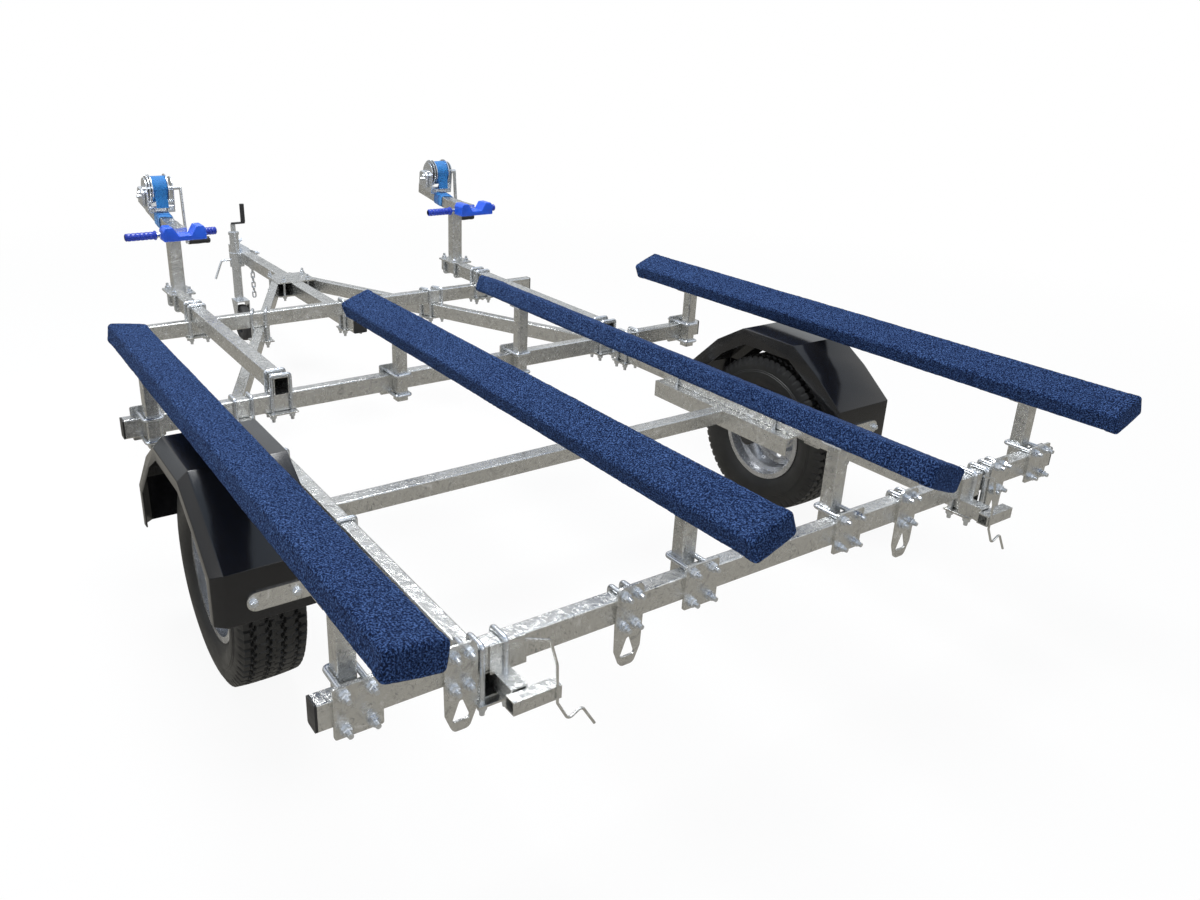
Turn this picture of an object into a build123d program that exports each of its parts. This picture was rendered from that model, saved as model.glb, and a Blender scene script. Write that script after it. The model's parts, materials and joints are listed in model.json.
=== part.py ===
"""Twin-bay trailer for two small personal watercraft, single axle, standing level on its jockey wheel.

Frame: +X forward to the coupling, +Y to the left, +Z up, millimetres. Z = 0 is the floor and
X = 0 is halfway between the rear ends of the bunks and the nose of the coupling.
"""
import os
from math import cos, radians, sin, sqrt, tan

from build123d import *

os.makedirs("parts", exist_ok=True)

SIDES = (("left", 1), ("right", -1))

# ---- driving dimensions ------------------------------------------------------------------
OVERALL_LENGTH = 4400.0
FRAME_TOP = 534.0            # top face of the three crossmembers

TUBE_HEIGHT = 60.0           # crossmembers and side rails
TUBE_WIDTH = 40.0
TUBE_WALL = 3.0
TUBE_CORNER = 5.0            # outside radius of every square and oblong tube
CROSS_LENGTH = 2270.0
UPPER_CROSS_LENGTH = 1844.0
BUNK_OVERHANG = 220.0        # bunk end behind the rear crossmember
LOWER_CROSS_SETBACK = 1525.0  # rear crossmember to lower front crossmember
UPPER_CROSS_SETBACK = 2485.0

RAIL_SPREAD = 1558.0         # between the side rails' centre planes
RAIL_STRAIGHT = 1640.0       # rear crossmember to the bend of the rails
LEG_REACH = 3300.0           # rear crossmember to the tip of the converging legs
RAIL_BEND_RADIUS = 220.0

DRAWBAR_SIZE = 60.0
DRAWBAR_WALL = 4.0
DRAWBAR_START = 2400.0
DRAWBAR_NOSE_GAP = 180.0     # drawbar's front end behind the coupling's nose
JUNCTION_PLATE = (180.0, 190.0, 6.0)   # length, width, thickness
JUNCTION_OVERHANG = 20.0     # past the tips of the legs
JUNCTION_CORNER = 10.0

CAP_RIM = 5.0
CAP_PLUG = 20.0
CAP_CLEARANCE = 0.3

BUNK_LENGTH = 2000.0
BUNK_WIDTH = 116.0
BUNK_THICKNESS = 58.0
BUNK_EDGE_RADIUS = 9.0
BUNK_RISE = 192.0            # crossmember top to bunk centre
OUTER_BUNK_INSET = 87.0      # bunk centre in from the crossmember end
OUTER_POST_INSET = 75.0
INNER_BUNK_Y = 272.0
INNER_POST_Y = 243.0

POST_SIZE = 40.0
POST_WALL = 3.0
POST_DROP = 88.0             # post foot below the crossmember top
SADDLE_LENGTH = 60.0
SADDLE_WIDTH = 100.0
SADDLE_THICKNESS = 5.0
CLAMP_PLATE = (96.0, 108.0, 6.0)       # width, height, thickness
CLAMP_PLATE_CORNER = 5.0
CLAMP_HOLE_DIAMETER = 13.0
U_BOLT_DIAMETER = 12.0
U_BOLT_CLEARANCE = 0.5

TIE_PLATE_WIDTH = 74.0
TIE_PLATE_TOP = 28.0         # above the crossmember top
TIE_PLATE_BOTTOM = 168.0     # below the crossmember top
TIE_PLATE_THICKNESS = 6.0
TIE_PLATE_Y = (851.0, 444.0, -470.0, -865.0)
TIE_PLATE_SHOULDER = 40.0    # height over which the plate narrows at its top and at its foot
TIE_PLATE_FOOT = 36.0
TIE_PLATE_CORNER = 14.0
TIE_EYE = (44.0, 60.0, 22.0, 6.0)      # width, height, height above the foot, corner radius

WINCH_TUBE_WIDTH = 50.0
WINCH_TUBE_HEIGHT = 60.0
WINCH_TUBE_START = 1512.0
WINCH_TUBE_END = 2835.0
WINCH_Y = 656.0
WINCH_BASE = (144.0, 104.0, 6.0)       # length, width, thickness
WINCH_BASE_CORNER = 8.0
WINCH_POST_SETBACK = 2743.0
WINCH_POST_SIZE = 50.0
WINCH_POST_TOP = 350.0       # above the crossmember top
ARM_SIZE = 50.0
ARM_REACH = 330.0
ARM_PITCH = 8.0
SNUBBER_STUB = 118.0
SNUBBER_DEPTH = 70.0
SNUBBER_BOTTOM = 312.0       # above the crossmember top
SNUBBER_PROFILE = (          # right half, seen from behind: y, z from the block's underside
    (82.0, 0.0),
    (82.0, 40.0),
    (72.0, 54.0),
    (45.0, 54.0),
    (24.0, 20.0),
)
GRIP_BAR_DIAMETER = 20.0
GRIP_ENDS = (                # direction, bar beyond the stand's middle, grip length
    (-1, 144.0, 56.0),
    (1, 208.0, 118.0),
)
GRIP_DIAMETER = 31.0
GRIP_CLEARANCE = 0.2

WINCH_ALONG_ARM = 190.0      # winch axis from the post, along the arm
WINCH_AXIS_HEIGHT = 88.0     # above the arm's top face
WINCH_CHEEK_SPREAD = 108.0
WINCH_CHEEK_WIDTH = 96.0
WINCH_SHEET = 4.0
WINCH_SHAFT_DIAMETER = 18.0
WINCH_SHAFT_CLEARANCE = 0.4
WINCH_FLANGE_DIAMETER = 118.0
STRAP_DIAMETER = 104.0
STRAP_WIDTH = 60.0
CRANK_LENGTH = 225.0
CRANK_SECTION = (18.0, 8.0)
CRANK_OFFSET = 96.0
CRANK_GRIP_LENGTH = 92.0
CRANK_GRIP_DIAMETER = 26.0
CRANK_LEAN = 20.0            # the crank hangs with its grip this far behind the axis
WINCH_SHAFT_END = 8.0

WHEEL_X_SETBACK = 927.0
WHEEL_RADIUS = 288.0
TYRE_WIDTH = 186.0
WHEEL_Y = 1001.0
RIM_RADIUS = 171.0
BEAD_RADIUS = 158.0
RIM_WIDTH = 150.0
RIM_SHEET = 4.0
DISC_OFFSET = 26.0
HUB_DIAMETER = 66.0
HUB_LENGTH = 96.0
HUB_FLANGE_DIAMETER = 136.0
STUB_DIAMETER = 34.0
HUB_CLEARANCE = 0.4

AXLE_BEAM_SIZE = 50.0
AXLE_SETBACK = 955.0
AXLE_WALL = 4.0
BRACKET_LENGTH = 660.0
BRACKET_CENTRE_SETBACK = 963.0
BRACKET_HEIGHT = 60.0
BRACKET_WIDTH = 78.0
BRACKET_INSET = 38.0         # the bracket's web stands this far in from the rail
BRACKET_SHEET = 6.0
ARM_PLATE_Y = 852.0
ARM_PLATE_THICKNESS = 18.0
TORSION_DIAMETER = 36.0
ARM_PLATE_ENDS = (38.0, 29.0)          # radius at the torsion shaft, radius at the stub
STUB_SETBACK = 4.0           # stub's end behind the outer face of the wheel's disc

GUARD_INNER_Y = 890.0
GUARD_WIDTH = 266.0
GUARD_SHEET = 4.0
GUARD_CHAMFER = 25.0         # along the outer edge
GUARD_RIM = 55.0             # depth of the side walls above the arch
GUARD_OUTLINE = (            # from the wheel centre: x, z
    (-358.0, 72.0),
    (-358.0, 208.0),
    (-243.0, 302.0),
    (-130.0, 374.0),
    (110.0, 374.0),
    (232.0, 302.0),
    (392.0, 150.0),
    (392.0, 12.0),
)
STAY_WIDTH = 48.0
STAY_THICKNESS = 6.0
STAY_TAB = 60.0
STAY_RISE = 125.0            # stay centre above the wheel centre
STAY_END_INSET = 70.0        # rounded end of the stay in from the guard's outer wall

JOCKEY_NOSE_GAP = 275.0
JOCKEY_Y = 68.0
JOCKEY_TUBE_DIAMETER = 48.0
JOCKEY_TUBE_TOP = 46.0       # above the crossmember top
JOCKEY_TUBE_BOTTOM = 300.0   # below the crossmember top
JOCKEY_WALL = 3.0
JOCKEY_LEG_DIAMETER = 41.0
JOCKEY_WHEEL_RADIUS = 100.0
JOCKEY_WHEEL_WIDTH = 52.0
JOCKEY_TRAIL = 48.0
JOCKEY_FORK_SHEET = 5.0
JOCKEY_AXLE_DIAMETER = 12.0
JOCKEY_CLAMP = (44.0, 76.0, 8.0)       # length, height, wall

COUPLING_LENGTH = 245.0
HOLDERS = (                  # name, y, how far its wire stands to the left of its place on the other
    ("left", 745.0, 0.0),
    ("right", -745.0, 90.0),
)
CHAIN_WIRE = 7.0
CHAIN_PITCH = 27.0
CHAIN_LINKS = 6
CHAIN_SETBACK = 60.0         # behind the jockey tube; the chain ends above the fork's swing

# ---- places worked out from the dimensions above ------------------------------------------
REAR_X = -OVERALL_LENGTH / 2 + BUNK_OVERHANG       # rear face of the rear crossmember
NOSE_X = OVERALL_LENGTH / 2
OUTER_BUNK_Y = CROSS_LENGTH / 2 - OUTER_BUNK_INSET
OUTER_POST_Y = CROSS_LENGTH / 2 - OUTER_POST_INSET
RAIL_TOP = FRAME_TOP - TUBE_HEIGHT
RAIL_BOTTOM = RAIL_TOP - TUBE_HEIGHT
RAIL_Y = RAIL_SPREAD / 2
LOWER_X = REAR_X + LOWER_CROSS_SETBACK
UPPER_X = REAR_X + UPPER_CROSS_SETBACK
WHEEL_X = REAR_X + WHEEL_X_SETBACK
AXLE_X = REAR_X + AXLE_SETBACK
JOCKEY_X = NOSE_X - JOCKEY_NOSE_GAP
DRAWBAR_END = NOSE_X - DRAWBAR_NOSE_GAP
WINCH_POST_X = REAR_X + WINCH_POST_SETBACK
WINCH_TUBE_TOP = FRAME_TOP + WINCH_TUBE_HEIGHT
WINCH_BASE_TOP = WINCH_TUBE_TOP + WINCH_BASE[2]
WINCH_HEAD = FRAME_TOP + WINCH_POST_TOP
AXLE_Z = RAIL_BOTTOM - AXLE_BEAM_SIZE / 2
TOUCH = 0.3                  # running gap between turning parts


def save(name, *solids):
    """Label a finished piece, or a set of like pieces, and write its STEP file."""
    part = solids[0] if len(solids) == 1 else Compound(children=list(solids))
    part.label = name
    export_step(part, f"parts/{name}.step")


def tube_section(width, height, wall):
    """Add a round-cornered tube section to the sketch that is being drawn."""
    RectangleRounded(width, height, TUBE_CORNER)
    RectangleRounded(width - 2 * wall, height - 2 * wall, TUBE_CORNER - wall, mode=Mode.SUBTRACT)


def tube(plane, width, height, wall, length):
    """A rectangular tube centred on the plane's origin and drawn out along its normal."""
    with BuildPart() as hollow:
        with BuildSketch(plane):
            tube_section(width, height, wall)
        extrude(amount=length)
    return hollow.part


# ---- crossmembers -------------------------------------------------------------------------
CROSSMEMBERS = (             # name, rear face x, length
    ("rear_crossmember", REAR_X, CROSS_LENGTH),
    ("lower_crossmember", LOWER_X, CROSS_LENGTH),
    ("upper_crossmember", UPPER_X, UPPER_CROSS_LENGTH),
)


def cap(x, y, z, side):
    """A push-in end cap for a crossmember, whose mouth faces along Y."""
    slack = 2 * TUBE_WALL + 2 * CAP_CLEARANCE
    mouth = Plane(origin=(x, y, z), x_dir=(1, 0, 0), z_dir=(0, side, 0))
    with BuildPart() as plastic:
        with BuildSketch(mouth):
            RectangleRounded(TUBE_WIDTH, TUBE_HEIGHT, TUBE_CORNER)
        extrude(amount=CAP_RIM)
        with BuildSketch(mouth):
            RectangleRounded(TUBE_WIDTH - slack, TUBE_HEIGHT - slack, TUBE_CORNER - TUBE_WALL)
        extrude(amount=-CAP_PLUG)
    return plastic.part


end_caps = []
for name, rear_face, length in CROSSMEMBERS:
    centre_x = rear_face + TUBE_WIDTH / 2
    mouth = Plane(origin=(centre_x, -length / 2, FRAME_TOP - TUBE_HEIGHT / 2),
                  x_dir=(1, 0, 0), z_dir=(0, 1, 0))
    save(name, tube(mouth, TUBE_WIDTH, TUBE_HEIGHT, TUBE_WALL, length))
    for _, side in SIDES:
        end_caps.append(cap(centre_x, side * length / 2, FRAME_TOP - TUBE_HEIGHT / 2, side))


# ---- side rails, each one bent tube -------------------------------------------------------
LEG_TIP_Y = DRAWBAR_SIZE / 2 + TUBE_WIDTH / 2
LEG_OVERRUN = 60.0           # cut off again where the leg meets the drawbar
LEG_CUT = (600.0, 400.0)     # length and width of the block that trims it


def side_rail(side):
    """Straight rail, then one bend inwards to a mitred end against the drawbar."""
    start = (REAR_X, side * RAIL_Y)
    bend = (REAR_X + RAIL_STRAIGHT, side * RAIL_Y)
    tip = (REAR_X + LEG_REACH, side * LEG_TIP_Y)
    run = sqrt((tip[0] - bend[0]) ** 2 + (tip[1] - bend[1]) ** 2)
    past = tuple(end + (end - first) / run * LEG_OVERRUN for first, end in zip(bend, tip))
    level = RAIL_TOP - TUBE_HEIGHT / 2
    with BuildPart() as rail:
        with BuildLine(Plane.XY.offset(level)) as path:
            FilletPolyline(start, bend, past, radius=RAIL_BEND_RADIUS)
        with BuildSketch(Plane(origin=(*start, level), x_dir=(0, 1, 0), z_dir=(1, 0, 0))):
            tube_section(TUBE_WIDTH, TUBE_HEIGHT, TUBE_WALL)
        sweep(path=path.line)
        with Locations((tip[0], -side * (LEG_CUT[1] - DRAWBAR_SIZE) / 2, level)):
            Box(*LEG_CUT, 2 * TUBE_HEIGHT, mode=Mode.SUBTRACT)
    return rail.part


for name, side in SIDES:
    save(f"side_rail_{name}", side_rail(side))

# ---- drawbar and its junction plates ------------------------------------------------------
drawbar_mouth = Plane(origin=(REAR_X + DRAWBAR_START, 0, RAIL_TOP - DRAWBAR_SIZE / 2),
                      x_dir=(0, 1, 0), z_dir=(1, 0, 0))
save("drawbar", tube(drawbar_mouth, DRAWBAR_SIZE, DRAWBAR_SIZE, DRAWBAR_WALL,
                     DRAWBAR_END - REAR_X - DRAWBAR_START))

with BuildPart() as drawbar_cap:
    with BuildSketch(drawbar_mouth):
        RectangleRounded(DRAWBAR_SIZE, DRAWBAR_SIZE, TUBE_CORNER)
    extrude(amount=-CAP_RIM)
    with BuildSketch(drawbar_mouth):
        Rectangle(*2 * [DRAWBAR_SIZE - 2 * DRAWBAR_WALL - 2 * CAP_CLEARANCE])
    extrude(amount=CAP_PLUG)
save("end_caps", *end_caps, drawbar_cap.part)

junction_x = REAR_X + LEG_REACH + JUNCTION_OVERHANG - JUNCTION_PLATE[0] / 2
junction_plates = []
for low in (RAIL_TOP, RAIL_BOTTOM - JUNCTION_PLATE[2]):
    with BuildPart() as junction:
        with BuildSketch(Plane.XY.offset(low)):
            with Locations((junction_x, 0)):
                RectangleRounded(JUNCTION_PLATE[0], JUNCTION_PLATE[1], JUNCTION_CORNER)
        extrude(amount=JUNCTION_PLATE[2])
    junction_plates.append(junction.part)
save("junction_plates", *junction_plates)

# ---- coupling head ------------------------------------------------------------------------
COUPLING_SHEET = 6.0
COUPLING_WIDTH = DRAWBAR_SIZE + 2 * COUPLING_SHEET
COUPLING_CORNER = 8.0
COUPLING_OVERLAP = 20.0      # the sleeve runs this far past the drawbar's end
COUPLING_X = NOSE_X - COUPLING_LENGTH
COUPLING_TOP = RAIL_TOP + COUPLING_SHEET
HEAD_HEIGHT = 44.0
SOCKET_RADIUS = 25.5
SOCKET_WALL = 6.5
SOCKET_OUTSIDE = SOCKET_RADIUS + SOCKET_WALL
SOCKET_LIP = 20.0            # the head is open this far below the ball's centre
SOCKET_X = NOSE_X - SOCKET_OUTSIDE
SOCKET_Z = RAIL_TOP - DRAWBAR_SIZE / 2 - COUPLING_SHEET
SOCKET_CUT = (160.0, 120.0, 80.0)

with BuildPart() as coupling:
    with BuildSketch(Plane(origin=(COUPLING_X, 0, RAIL_TOP - DRAWBAR_SIZE / 2),
                           x_dir=(0, 1, 0), z_dir=(1, 0, 0))):
        RectangleRounded(COUPLING_WIDTH, COUPLING_WIDTH, COUPLING_CORNER)
        Rectangle(DRAWBAR_SIZE, DRAWBAR_SIZE, mode=Mode.SUBTRACT)
    extrude(amount=DRAWBAR_END - COUPLING_X + COUPLING_OVERLAP)
    with BuildSketch(Plane.XY.offset(COUPLING_TOP - HEAD_HEIGHT)):
        with BuildLine():
            Polyline((DRAWBAR_END, COUPLING_WIDTH / 2), (SOCKET_X, SOCKET_OUTSIDE),
                     (SOCKET_X, -SOCKET_OUTSIDE), (DRAWBAR_END, -COUPLING_WIDTH / 2), close=True)
        make_face()
    extrude(amount=HEAD_HEIGHT)
    with Locations((SOCKET_X, 0, SOCKET_Z)):
        Sphere(SOCKET_OUTSIDE)
    with Locations((SOCKET_X, 0, SOCKET_Z)):
        Sphere(SOCKET_RADIUS, mode=Mode.SUBTRACT)
    with BuildSketch(Plane.XY.offset(SOCKET_Z)):
        with Locations((SOCKET_X, 0)):
            Circle(SOCKET_RADIUS)
    extrude(amount=-DRAWBAR_SIZE, mode=Mode.SUBTRACT)
    with Locations((SOCKET_X, 0, SOCKET_Z - SOCKET_LIP - SOCKET_CUT[2] / 2)):
        Box(*SOCKET_CUT, mode=Mode.SUBTRACT)
save("coupling", coupling.part)

LEVER_WIDTH = 30.0
LEVER_OUTLINE = (            # x from the ball's centre, z from the coupling's top
    (-62.0, 0.0),
    (-34.0, 0.0),
    (-30.0, 18.0),
    (-120.0, 52.0),
    (-126.0, 44.0),
    (-60.0, 14.0),
)
lever_side = Plane(origin=(SOCKET_X, LEVER_WIDTH / 2, COUPLING_TOP), x_dir=(1, 0, 0), z_dir=(0, -1, 0))
with BuildPart() as lever:
    with BuildSketch(lever_side):
        with BuildLine():
            Polyline(*LEVER_OUTLINE, close=True)
        make_face()
    extrude(amount=LEVER_WIDTH)
save("coupling_lever", lever.part)

# ---- bunks and their posts ----------------------------------------------------------------
POST_CUT = 200.0             # height of the block that slants a post's top to its bunk
POST_ROWS = (                # row, post centre x, clamp plate face x, direction the plate lies in
    ("rear", REAR_X + TUBE_WIDTH + POST_SIZE / 2, REAR_X, -1),
    ("front", LOWER_X - POST_SIZE / 2, LOWER_X + TUBE_WIDTH, 1),
)
BUNKS = (                    # name, bunk y, post y, tilt in degrees, positive with the left edge higher
    ("outer_left", OUTER_BUNK_Y, OUTER_POST_Y, 9.0),
    ("inner_left", INNER_BUNK_Y, INNER_POST_Y, -21.0),
    ("inner_right", -INNER_BUNK_Y, -INNER_POST_Y, 21.0),
    ("outer_right", -OUTER_BUNK_Y, -OUTER_POST_Y, -22.0),
)


def bunk_plane(x, y, tilt):
    """Plane across a bunk at its centre line, its second axis square to the bunk's top face."""
    lean = radians(tilt)
    return Plane(origin=(x, y, FRAME_TOP + BUNK_RISE), x_dir=(0, cos(lean), sin(lean)), z_dir=(1, 0, 0))


for name, y, post_y, tilt in BUNKS:
    rear_end = bunk_plane(-OVERALL_LENGTH / 2, y, tilt)
    with BuildPart() as bunk:
        with BuildSketch(rear_end):
            RectangleRounded(BUNK_WIDTH, BUNK_THICKNESS, BUNK_EDGE_RADIUS)
        extrude(amount=BUNK_LENGTH)
    save(f"bunk_{name}", bunk.part)

    for row, post_x, _, _ in POST_ROWS:
        under = bunk_plane(post_x - SADDLE_LENGTH / 2, y, tilt)
        foot = FRAME_TOP - POST_DROP
        with BuildPart() as post:
            with BuildSketch(Plane.XY.offset(foot)):
                with Locations((post_x, post_y)):
                    tube_section(POST_SIZE, POST_SIZE, POST_WALL)
            extrude(amount=POST_DROP + BUNK_RISE)
            with BuildSketch(under):
                with Locations((0, (POST_CUT - BUNK_THICKNESS - SADDLE_THICKNESS) / 2)):
                    Rectangle(4 * BUNK_WIDTH, POST_CUT)
            extrude(amount=SADDLE_LENGTH, mode=Mode.SUBTRACT)
            with BuildSketch(under):
                with Locations((0, -BUNK_THICKNESS / 2 - SADDLE_THICKNESS / 2)):
                    Rectangle(SADDLE_WIDTH, SADDLE_THICKNESS)
            extrude(amount=SADDLE_LENGTH)
        save(f"{row}_post_{name}", post.part)


# ---- clamp plates and tie-down plates on the crossmembers ---------------------------------
def clamp_plate(x, y, facing):
    """Square plate with four bolt holes that a pair of U-bolts pulls against the crossmember."""
    width, height, thickness = CLAMP_PLATE
    leg_y = POST_SIZE / 2 + U_BOLT_DIAMETER / 2 + U_BOLT_CLEARANCE
    leg_z = TUBE_HEIGHT / 2 + U_BOLT_DIAMETER / 2 + U_BOLT_CLEARANCE
    face = Plane(origin=(x, y, FRAME_TOP - TUBE_HEIGHT / 2), x_dir=(0, 1, 0), z_dir=(facing, 0, 0))
    with BuildPart() as plate:
        with BuildSketch(face):
            RectangleRounded(width, height, CLAMP_PLATE_CORNER)
            with Locations(*((u * leg_y, v * leg_z) for u in (-1, 1) for v in (-1, 1))):
                Circle(CLAMP_HOLE_DIAMETER / 2, mode=Mode.SUBTRACT)
        extrude(amount=thickness)
    return plate.part


save("post_clamp_plates", *(clamp_plate(plate_x, y, facing)
                            for _, _, plate_x, facing in POST_ROWS for _, _, y, _ in BUNKS))


def tie_down_plate(y):
    """Hanging plate with a rounded foot, a three-cornered lashing eye and four bolt holes."""
    top = FRAME_TOP + TIE_PLATE_TOP
    bottom = FRAME_TOP - TIE_PLATE_BOTTOM
    half = TIE_PLATE_WIDTH / 2
    foot = TIE_PLATE_FOOT / 2
    eye_width, eye_height, eye_rise, eye_corner = TIE_EYE
    eye_low = bottom + eye_rise
    with BuildPart() as plate:
        with BuildSketch(Plane(origin=(REAR_X, y, 0), x_dir=(0, -1, 0), z_dir=(-1, 0, 0))):
            with BuildLine():
                FilletPolyline((half - 4, top), (half, top - TIE_PLATE_SHOULDER),
                               (half - 3, bottom + TIE_PLATE_SHOULDER), (foot, bottom), (-foot, bottom),
                               (3 - half, bottom + TIE_PLATE_SHOULDER), (-half, top - TIE_PLATE_SHOULDER),
                               (4 - half, top), radius=TIE_PLATE_CORNER, close=True)
            make_face()
            with BuildLine():
                FilletPolyline((0, eye_low + eye_height), (eye_width / 2, eye_low), (-eye_width / 2, eye_low),
                               radius=eye_corner, close=True)
            make_face(mode=Mode.SUBTRACT)
        extrude(amount=TIE_PLATE_THICKNESS)
    return plate.part


save("tie_down_plates", *(tie_down_plate(y) for y in TIE_PLATE_Y))

# ---- light board holders behind the rear crossmember --------------------------------------
HOLDER_BAR = 30.0
HOLDER_SOCKET = 38.0
HOLDER_PLATE = (84.0, 66.0, 5.0)
HOLDER_WALL = 3.0
HOLDER_BORE = HOLDER_BAR - 2 * HOLDER_WALL
HOLDER_REACH = 64.0          # how far the socket stands out behind the crossmember
HOLDER_SHIFT = 12.0          # socket and cross bar are set this much apart from the plate's middle
HOLDER_BAR_LENGTH = 110.0
HOOK_WIRE = 6.0
HOOK_WELD = 1.0              # the wire is let this much into the bar it is welded to
HOOK_BEND = 11.0
HOOK_ROUTE = (               # y from the holder, z from the crossmember top
    (22.0, 64.0),
    (-34.0, 42.0),
    (-52.0, -20.0),
    (-56.0, -110.0),
    (-84.0, -160.0),
    (-116.0, -142.0),
    (-150.0, -196.0),
)
for name, holder_y, wire_shift in HOLDERS:
    socket_top = FRAME_TOP - HOLDER_PLATE[1]
    with BuildPart() as holder:
        with Locations((REAR_X - HOLDER_PLATE[2] / 2, holder_y, FRAME_TOP - HOLDER_PLATE[1] / 2)):
            Box(HOLDER_PLATE[2], HOLDER_PLATE[0], HOLDER_PLATE[1])
        with Locations((REAR_X - HOLDER_REACH / 2, holder_y + HOLDER_SHIFT, socket_top - HOLDER_SOCKET / 2)):
            Box(HOLDER_REACH, HOLDER_SOCKET, HOLDER_SOCKET)
            Box(HOLDER_REACH, HOLDER_BAR, HOLDER_BAR, mode=Mode.SUBTRACT)
        with Locations((REAR_X - HOLDER_REACH - HOLDER_BAR / 2, holder_y - HOLDER_SHIFT,
                        socket_top - HOLDER_SOCKET / 2 - HOLDER_WALL)):
            Box(HOLDER_BAR, HOLDER_BAR_LENGTH, HOLDER_BAR)
            Box(HOLDER_BORE, HOLDER_BAR_LENGTH, HOLDER_BORE, mode=Mode.SUBTRACT)

        hook_x = REAR_X - HOLDER_REACH - HOLDER_BAR - HOOK_WIRE / 2 + HOOK_WELD
        hook_origin = (hook_x, holder_y + wire_shift, FRAME_TOP)
        with BuildLine(Plane(origin=hook_origin, x_dir=(0, 1, 0), z_dir=(1, 0, 0))) as wire:
            FilletPolyline(*HOOK_ROUTE, radius=HOOK_BEND)
        with BuildSketch(Plane(origin=wire.line @ 0, z_dir=wire.line % 0)):
            Circle(HOOK_WIRE / 2)
        sweep(path=wire.line)
    save(f"light_board_holder_{name}", holder.part)


# ---- winch stands -------------------------------------------------------------------------
arm_lean = radians(ARM_PITCH)
ARM_START_Z = WINCH_HEAD - ARM_SIZE / 2 / cos(arm_lean) - ARM_SIZE / 2 * tan(arm_lean)


def arm_plane(y):
    """Plane across the winch arm where it leaves the post, its normal along the arm."""
    along = (cos(arm_lean), 0, sin(arm_lean))
    return Plane(origin=(WINCH_POST_X, y, ARM_START_Z), x_dir=(0, 1, 0), z_dir=along)


def winch_plane(y):
    """Plane on the arm's top face under the winch: X along the arm, Z square to it."""
    forward = Vector(cos(arm_lean), 0, sin(arm_lean))
    up = Vector(-sin(arm_lean), 0, cos(arm_lean))
    origin = Vector(WINCH_POST_X, y, ARM_START_Z) + forward * WINCH_ALONG_ARM + up * (ARM_SIZE / 2)
    return Plane(origin=origin, x_dir=forward, z_dir=up)


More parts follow.
